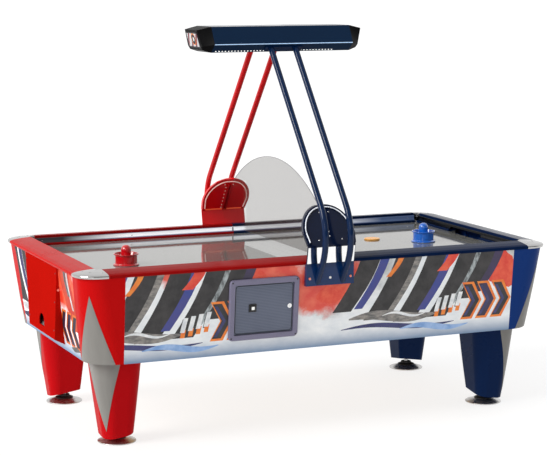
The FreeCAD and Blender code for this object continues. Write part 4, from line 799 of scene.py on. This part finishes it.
def opening(node, inset=0):
    """The hole that a print has round a fitting, its edge tucked under the fitting by the inset."""
    low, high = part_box(node)
    left, right = low.x / CM + inset, high.x / CM - inset
    foot, top = (low.z - PRINT_FOOT) / CM + inset, (high.z - PRINT_FOOT) / CM - inset
    return ("hole", [(left, foot), (right, foot), (right, top), (left, top)])


def panel_outline(half_low, half_high):
    return [(-half_low, PRINT_LOW), (half_low, PRINT_LOW), (half_high, PRINT_HIGH), (-half_high, PRINT_HIGH)]


half_print = front_box[1].x / CM
side_outline = panel_outline(half_print, half_print)
side_layers = action_group(REPEAT) + action_group(0)
# each cloud's middle along and up the panel, its half width and half height, and a smoke's the same
REDS = [(-32, 34, 22, 14), (-4, 29, 20, 11), (4, 38, 14, 8), (-80, 44, 9, 8)]
SMOKES = [(-36, 42, 12, 5), (24, 38, 12, 9), (12, 44, 8, 6), (99, 40, 6, 8), (2, 21, 9, 5)]
printed_sheet("front_print", side_outline, side_layers + [opening("coin_door_frame", 2)],
              print_ground("print_ground_front", "X", REDS, SMOKES), on_front)
rear_print = printed_sheet("rear_print", side_outline, flipped_layers(side_layers) + [opening("power_inlet")],
                           print_ground("print_ground_rear", "X", REDS, SMOKES, -1), on_rear)
rear_print.data.flip_normals()

seam_high = end_box[1].y / CM
seam_low = seam_high - 3.5
end_layers = (
    [("red", leaning_band(-58, 14, 17)), ("white", leaning_band(-46, 24, 2.4, 0.2))]
    + [("glint", leaning_band(-42, 30, 3.5, 0.2))]
    + outlined_chevrons(-49, 5.0, 3, 17.0)
    + [("steel", ribbon(-47, -33, 4.4, 2.6, 0.4))]
    + [("black", leaning_band(14, 14, 14, 0.3)), ("black", leaning_band(36, 14, 14, 0.3))]
    + [("blue", leaning_band(29, 18, 6, 0.3)), ("red", leaning_band(20, 28, 5, 0.3))]
    + [("white", ribbon(26, 50, 12, 4, 0.5)), ("navy", ribbon(26, 50, 7.6, 3, 0.5))]
    + [("hole", [(-15.2, 9.4), (15.2, 9.4), (15.2, 38.8), (-15.2, 38.8)])]
)
end_rows = [k * 3.0 for k in range(1, 14)]
end_ground = print_ground("print_ground_end", "Y", [(-36, 34, 18, 12)], [(-42, 44, 8, 6)], film=END_FILM)
for name, place in (("left_end_print", on_left_end), ("right_end_print", on_right_end)):
    end_print = printed_sheet(name, panel_outline(seam_low, seam_high), end_layers, end_ground, place,
                              end_rows, SHADED_END_INKS)
    if place is on_left_end:
        end_print.data.flip_normals()


# ---------------------------------------------------------------- small fittings

def screws(name, radius, high, places, finish):
    """Domed screw heads with a drive recess, as one piece on the table."""
    profile = [(radius, -0.3 * MM), (radius, high * 0.35), (radius * 0.86, high * 0.75), (radius * 0.6, high),
               (radius * 0.34, high), (radius * 0.28, high * 0.4), (0, high * 0.35)]
    many_turned(name, profile, places, "table", finish)


def swept(name, path, radius, finish, closed=False, body="table"):
    """A round bead along a path."""
    sides = 10
    points, faces = [], []
    count = len(path)
    for index, here in enumerate(path):
        before = path[index - 1] if closed or index else here
        after = path[(index + 1) % count] if closed or index < count - 1 else here
        along = (after - before).normalized()
        side = along.cross(Vector((0.31, 0.87, 0.38))).normalized()
        other = along.cross(side)
        for step in range(sides):
            angle = math.tau * step / sides
            points.append(here + (side * math.cos(angle) + other * math.sin(angle)) * radius)
    for index in range(count if closed else count - 1):
        low, high = index * sides, (index + 1) % count * sides
        for step in range(sides):
            after = (step + 1) % sides
            faces.append([low + step, low + after, high + after, high + step])
    if not closed:
        faces.append(list(range(sides))[::-1])
        faces.append([(count - 1) * sides + step for step in range(sides)])
    piece(name, points, faces, body, [finish], smooth=60)


ENDS = ((-1, "front"), (1, "rear"))     # the table's long sides, by the sign of y
BRACKETS = ((-1, "bracket_blue"), (1, "bracket_red"))
PLATE_FACE = 684 * MM                    # outer face of a bracket's plate, from the middle
FOLD = Vector((0, 694 * MM, 917 * MM))   # inner fold between a bracket's band and its shield
BAND_FACE = 554.5 * MM                   # inner face of a side cushion, from the middle
SCREEN_RADIUS = 907 * MM
SCREEN_APEX = 1267 * MM
BEZEL = 14 * MM                          # the coin door's frame stands this far out of the panel
BUTTON_UP = 223 * MM                     # the coin button's middle, up the panel from its foot
LAMP_FOOT = Vector((0, 95 * MM, 1805 * MM))
LAMP_WAIST = Vector((0, 145 * MM, 1846 * MM))
SHIELD_LOW = Vector((0, 0.702, 0.915))
SHIELD_TIP = Vector((0, 0.588, 1.093))
shield_up = (SHIELD_TIP - SHIELD_LOW).normalized()
shield_out = Vector((0, shield_up.z, -shield_up.y))


def on_shield(side, x, z, proud):
    """A point at a height on a shield, standing proud of its outer face; side is -1 at the front."""
    share = (z - SHIELD_LOW.z) / (SHIELD_TIP.z - SHIELD_LOW.z)
    point = SHIELD_LOW.lerp(SHIELD_TIP, share) + shield_out * proud
    return Vector((x, point.y * side, point.z))


def shield_beads():
    """Beads along the inside of both shields' rims, on both faces, pale and glowing weakly: painted
    highlights on the rims.
    """
    corners = [(-111, 930), (-117, 965), (-119, 985), (-119, 1083, 111), (119, 1083, 111), (119, 985),
               (117, 965), (111, 930)]
    path = rounded(corners, steps=14)
    # painted highlights: a cool pale glow on the blue shield, a warm pale glow on the red one
    gloss = {-1: opal_or_painted_highlight("rim_highlight_cool", rgb(226, 230, 238), 0.2),
             1: opal_or_painted_highlight("rim_highlight_warm", rgb(252, 210, 204), 0.25)}
    for side, slot in BRACKETS:
        for face, proud in (("out", 6 * MM), ("in", -10 * MM)):
            line = [on_shield(side, p.x * MM, p.y * MM, proud) for p in path]
            swept(f"shield_rim_highlight_{slot}_{face}", line, 2.8 * MM, gloss[side])


def shield_screws():
    """Screws through each shield to the screen's channel, and the nuts on their inner ends."""
    # the nuts glow weakly in pale pink: painted highlight
    nut = opal_or_painted_highlight("channel_nut", rgb(216, 170, 162), 0.15)
    tips = [(-24, 1062), (24, 1062)]
    outer = [(0, z) for z in range(955, 1036, 20)] + tips + [(-60, 940), (60, 940)]
    inner = [(-15, z) for z in range(945, 1046, 20)] + tips + [(-15, 928), (15, 928)]
    for side, label in ENDS:
        outward = Vector((0, shield_out.y * side, shield_out.z))
        places = [facing(on_shield(side, x * MM, z * MM, 0), outward) for x, z in outer]
        screws(f"channel_screws_{label}", 3.6 * MM, 2.2 * MM, places, chrome)
        places = [facing(on_shield(side, x * MM, z * MM, -4 * MM), -outward) for x, z in inner]
        screws(f"channel_nuts_{label}", 3.6 * MM, 2.4 * MM, places, nut)


def plate_washers():
    """Washers and plugs on each plate's screws: white ones in the middle, orange ones outside."""
    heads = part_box("bracket_screws")
    orange = moulded("orange_nylon", rgb(226, 96, 52), 0.4)
    white = moulded("white_nylon", rgb(236, 236, 234), 0.4)
    ring = [(6.2 * MM, 0), (6.2 * MM, 0.8 * MM), (5.7 * MM, 1.4 * MM), (5.2 * MM, 1.4 * MM), (5.1 * MM, 0)]
    cap = [(4.6 * MM, 3.4 * MM), (4.0 * MM, 4.2 * MM), (0, 4.6 * MM)]
    middle_z = (heads[0].z + heads[1].z) / 2
    for side, label in ENDS:
        for name, finish, spots in (("white", white, (0,)), ("orange", orange, (-107, 107))):
            places = [facing((x * MM, PLATE_FACE * side, middle_z), (0, side, 0)) for x in spots]
            many_turned(f"plate_washers_{name}_{label}", ring, places, "table", finish)
            many_turned(f"plate_plugs_{name}_{label}", cap, places, "table", finish)


def bend_glints():
    """A painted highlight along the fold inside each bracket, where its sheet bends back towards the lamp: a
    lighter blue lacquer on the blue one, a glowing orange on the red one.
    """
    # painted highlights: a lighter, glossier blue and an orange that glows
    fold_highlights = {"bracket_blue": lacquer("fold_blue_highlight", rgb(58, 96, 164), 0.4, 0.15),
            "bracket_red": opal_or_painted_highlight("fold_red_highlight", rgb(240, 92, 52), 0.3)}
    for side, slot in BRACKETS:
        line = [Vector((x * MM, FOLD.y * side, FOLD.z)) for x in range(-104, 105, 4)]
        swept(f"bend_edge_{slot}", line, 3.2 * MM, fold_highlights[slot])


def screen_edge():
    """The sawn edge along the arch of the screen, greyer than the sheet."""
    sawn = lacquer("sawn_edge", rgb(92, 92, 98), 0.1)
    centre = SCREEN_APEX - SCREEN_RADIUS - 0.6 * MM
    reach = [k * 2 * CM for k in range(-27, 28)]
    arch = [Vector((0, y, centre + math.sqrt(SCREEN_RADIUS ** 2 - y * y))) for y in reach]
    swept("screen_edge", arch, 0.9 * MM, sawn)


def rail_joints():
    """The black strip wrapped over both side rails where red meets blue."""
    rail = surface("side_rails_blue", (0, 0, -1))
    depths = [(561.5 + k * 4.5) * MM for k in range(25)]
    half = 1.5 * MM
    for side, label in ENDS:
        points, faces = [], []
        for depth in depths:
            top = rail((5 * CM, depth * side, 2)).z + 0.35 * MM
            points += [Vector((across, depth * side, top)) for across in (-half, half)]
        for low in range(0, len(points) - 2, 2):
            faces.append([low, low + 1, low + 3, low + 2] if side > 0 else [low, low + 2, low + 3, low + 1])
        piece(f"rail_joint_{label}", points, faces, "table", [black_plastic], smooth=40)


def cushion_screws():
    """Bright screws along the side cushions, and the black spacer where their halves meet."""
    foot, top = (corner.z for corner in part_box("side_cushions"))
    for side, label in ENDS:
        spots = [x * MM for x in (-1060, -575, -569, 569, 575, 1060)]
        places = [facing((x, BAND_FACE * side, (foot + top) / 2), (0, -side, 0)) for x in spots]
        screws(f"cushion_screws_{label}", 2.6 * MM, 1.2 * MM, places, chrome)
        upright = [Vector((0, BAND_FACE * side, foot + (top - foot) * k / 8)) for k in range(1, 8)]
        swept(f"cushion_spacer_{label}", upright, 3.4 * MM, black_plastic)


def cap_screws():
    """Countersunk screws in the tops of the corner caps."""
    top = surface("corner_caps", (0, 0, -1))
    places = []
    for side_x in (-1, 1):
        for side_y in (-1, 1):
            for x, y in ((1.118, 0.625), (1.168, 0.600), (1.190, 0.556)):
                hit = top((x * side_x, y * side_y, 2))
                places.append(standing(x * side_x, y * side_y, hit.z))
    screws("cap_screws", 4.2 * MM, 1.4 * MM, places, steel)


def lamp_fittings():
    """Row of white rivets low on both lamp covers, and a bead along the folded edge at their waist; rivets
    and bead glow, as painted highlights.
    """
    slope = (LAMP_WAIST - LAMP_FOOT).normalized()
    out = Vector((0, slope.z, -slope.y))
    # painted highlights: the rivets glow strongly, the bead on the folded edge glows pale blue
    white = opal_or_painted_highlight("glowing_white_rivet", rgb(250, 250, 248), 1.1)
    edge = opal_or_painted_highlight("lamp_edge_highlight", rgb(150, 178, 210), 0.75)
    for side, label in ENDS:
        spot = LAMP_FOOT.lerp(LAMP_WAIST, 0.16)
        outward = Vector((0, out.y * side, out.z))
        places = [facing(((-352 + k * 16.9) * MM, spot.y * side, spot.z), outward) for k in range(38)]
        many_turned(f"lamp_rivets_{label}", [(3.4 * MM, 0), (3 * MM, 0.9 * MM), (0, 1.3 * MM)], places,
                    "table", white, segments=10)
        edge_y = (LAMP_WAIST.y - 0.4 * MM) * side
        line = [Vector((x * MM, edge_y, LAMP_WAIST.z)) for x in range(-372, 373, 31)]
        swept(f"lamp_waist_{label}", line, 2 * MM, edge)


def centred(node):
    """The low corner of a node's box, its middle in plan and half its length."""
    low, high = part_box(node)
    return low, (low.x + high.x) / 2, (low.y + high.y) / 2, (high.x - low.x) / 2


def mallet_felts():
    """Felt pads under both mallets."""
    felt = Finish("felt", roughness=0.95, sheen_weight=0.4)
    felt.set(base_color=felt.mix(felt.noise(300, 4), rgb(66, 66, 72), rgb(104, 104, 110)))
    felt.grain(900, 0.4 * MM, 0.8, 3)
    for colour in ("red", "blue"):
        low, x, y, reach = centred(f"mallet_{colour}")
        pad = [(reach - 4 * MM, 0.05 * MM), (reach - 0.4 * MM, 0.05 * MM), (reach + 0.15 * MM, 0.8 * MM),
               (reach + 0.15 * MM, 2.2 * MM), (reach - 0.6 * MM, 2.6 * MM)]
        many_turned(f"mallet_{colour}_felt", pad, [standing(x, y, low.z)], f"mallet_{colour}_body",
                    felt.material, segments=96)


def foot_collars():
    """Black rubber collars between the chromed dishes and the legs."""
    rubber = moulded("foot_rubber", rgb(34, 32, 32), 0.55, 500)
    for name in ("front_left", "front_right", "rear_left", "rear_right"):
        _, x, y, _ = centred(f"foot_{name}")
        collar = [(46 * MM, 20.3 * MM), (45 * MM, 23 * MM), (34 * MM, 27.5 * MM), (29.5 * MM, 30 * MM),
                  (28 * MM, 36 * MM), (26.5 * MM, 37.2 * MM), (11 * MM, 37.2 * MM)]
        many_turned(f"foot_{name}_collar", collar, [standing(x, y, 0)], f"foot_{name}_body",
                    rubber, segments=64)


def door_plane(x, up, out):
    """A point on the leaning front panel: along it, up it from its foot, and out of its face."""
    rise = Vector((0, lean, 1)).normalized()
    foot = Vector((0, low_face - lean * (CM + PRINT_FOOT - front_box[0].z), front_box[0].z))
    outward = Vector((0, -rise.z, rise.y))
    return Vector((x, 0, 0)) + foot + rise * up + outward * out


def door_fittings():
    """The coin button's bright window, the seal round the door and the bolt heads in its frame."""
    # the window glows weakly: painted highlight
    insert = opal_or_painted_highlight("button_window", rgb(236, 236, 232), 0.25)
    outward = door_plane(0, 0, 1) - door_plane(0, 0, 0)
    _, x, _, _ = centred("coin_button")
    half, soft = 7.5 * MM, 1.6 * MM
    corners = [(half, half, soft), (-half, half, soft), (-half, -half, soft), (half, -half, soft)]
    ring = rounded(corners, closed=True, steps=4)
    points = [door_plane(x + p.x * share, BUTTON_UP + p.y * share, BEZEL + proud)
              for share, proud in ((1, 0.1 * MM), (0.86, 0.7 * MM)) for p in ring]
    count = len(ring)
    faces = [[k, (k + 1) % count, count + (k + 1) % count, count + k] for k in range(count)]
    faces.append([count + k for k in range(count)])
    window = piece("button_window", points, faces, "coin_button_body", [insert])
    bm = bmesh.new()
    bm.from_mesh(window.data)
    bmesh.ops.recalc_face_normals(bm, faces=bm.faces)
    bm.to_mesh(window.data)
    bm.free()
    door = nodes["coin_door"].data.vertices
    face = max((vertex.co - door_plane(0, 0, 0)).dot(outward) for vertex in door)
    door_low, door_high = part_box("coin_door")
    rise = door_plane(0, 1, 0) - door_plane(0, 0, 0)
    ups = [(vertex.co - door_plane(0, 0, 0)).dot(rise) for vertex in door]
    inset, soft = 4 * MM, 14 * MM
    left, right = door_low.x + inset, door_high.x - inset
    low, high = min(ups) + inset, max(ups) - inset
    seal = rounded([(right, high, soft), (left, high, soft), (left, low, soft), (right, low, soft)],
                   closed=True, steps=6)
    line = [door_plane(p.x, p.y, face - 0.3 * MM) for p in seal]
    swept("door_seal", line, 1.7 * MM, black_plastic, closed=True, body="coin_door_body")
    frame_low, frame_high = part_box("coin_door_frame")
    places = []
    for x in (frame_low.x + 13 * MM, frame_high.x - 13 * MM):
        for up in (81 * MM, 352 * MM):
            places.append(facing(door_plane(x, up, BEZEL), outward))
    screws("door_frame_bolts", 4 * MM, 1.6 * MM, places, black_plastic)


def goal_box_screws():
    """Screw heads down both edges of the goal boxes' faces."""
    places = []
    for side in (-1, 1):
        face = surface("goal_box_left" if side < 0 else "goal_box_right", (-side, 0, 0))
        for y, z in ((0.246, 0.79), (0.232, 0.65), (0.212, 0.51)):
            for across in (-y, y):
                hit = face((2 * side, across, z))
                places.append(facing(hit, (side, 0, 0)))
    screws("goal_box_screws", 3.8 * MM, 1.4 * MM, places, black_plastic)


shield_beads()
shield_screws()
plate_washers()
bend_glints()
screen_edge()
rail_joints()
cushion_screws()
cap_screws()
lamp_fittings()
mallet_felts()
foot_collars()
door_fittings()
goal_box_screws()


# ---------------------------------------------------------------- stage, light and camera

def stage_floor():
    """A pale sheet of paper under the table, with a weak glow that keeps it white."""
    mesh = bpy.data.meshes.new("floor")
    mesh.from_pydata([(-30, -30, 0), (30, -30, 0), (30, 30, 0), (-30, 30, 0)], [], [(0, 1, 2, 3)])
    paper = Finish("floor_paper", roughness=0.9, emission_color=(1, 1, 1, 1), emission_strength=0.78)
    paper.set(base_color=paper.mix(paper.noise(0.7, 3), rgb(128, 128, 128), rgb(134, 134, 134)))
    mesh.materials.append(paper.material)
    placed("floor", mesh)


def sun(name, towards, strength, angle, colour=(1, 1, 1)):
    """A very large soft light a long way off; towards points from the table to the light."""
    light = bpy.data.lights.new(name, "SUN")
    light.energy = strength
    light.angle = math.radians(angle)
    light.color = colour
    lamp = placed(name, light)
    lamp.location = Vector(towards) * 6
    lamp.rotation_euler = Vector(towards).to_track_quat("Z", "Y").to_euler()


def studio_world():
    """White to the eye; to reflections, a white cove behind the table and a dim room in front."""
    world = bpy.data.worlds.new("studio")
    sky = Nodes(world)
    direction = sky.node("TexCoord").outputs["Generated"]

    def toward(vector, low, high, to_low, to_high):
        inputs = {0: direction, 1: Vector(vector).normalized()}
        facing_it = sky.node("VectorMath", inputs, operation="DOT_PRODUCT").outputs["Value"]
        inputs = {0: facing_it, 1: low, 2: high, 3: to_low, 4: to_high}
        return sky.node("MapRange", inputs, interpolation_type="SMOOTHSTEP").outputs[0]

    room = toward((0.3, 1, 0.1), -0.35, 0.3, 0.12, 0.95)
    ceiling = toward((-0.2, 0.6, 1), 0.5, 0.85, 0.0, 0.8)
    left_wall = toward((-1, -0.35, 0.25), 0.55, 0.9, 0.0, 0.8)
    strip = toward((-0.55, -0.8, 0.28), 0.986, 0.994, 0.0, 5.0)
    total = room
    for part in (ceiling, left_wall, strip):
        total = sky.node("Math", {0: total, 1: part}, operation="MAXIMUM").outputs[0]
    seen = sky.node("LightPath").outputs["Is Camera Ray"]
    backdrop = sky.tree.nodes["Background"]
    sky.join(backdrop.inputs["Color"], (1, 1, 1, 1))
    sky.join(backdrop.inputs["Strength"], sky.node("Mix", {0: seen, 2: total, 3: 1.1}).outputs[0])
    bpy.context.scene.world = world


def camera():
    """The catalogue view: from the red end's side, a little above the rails."""
    aim = Vector((0, 0, 0.9034))
    azimuth, elevation, distance = math.radians(-23.3), math.radians(8.3), 9.1414
    away = Vector((math.sin(azimuth) * math.cos(elevation), -math.cos(azimuth) * math.cos(elevation),
                   math.sin(elevation)))
    data = bpy.data.cameras.new("camera")
    data.sensor_width = 36
    data.lens = 117.9
    seen = placed("camera", data)
    seen.location = aim + away * distance
    seen.rotation_euler = (-away).to_track_quat("-Z", "Y").to_euler()
    bpy.context.scene.camera = seen


stage_floor()
studio_world()
sun("key", (-0.9, -0.1, 0.58), 2.8, 30, (1, 0.985, 0.96))
sun("fill", (0.2, -0.75, 0.6), 0.25, 60)
camera()
bpy.context.scene.view_settings.view_transform = "Standard"
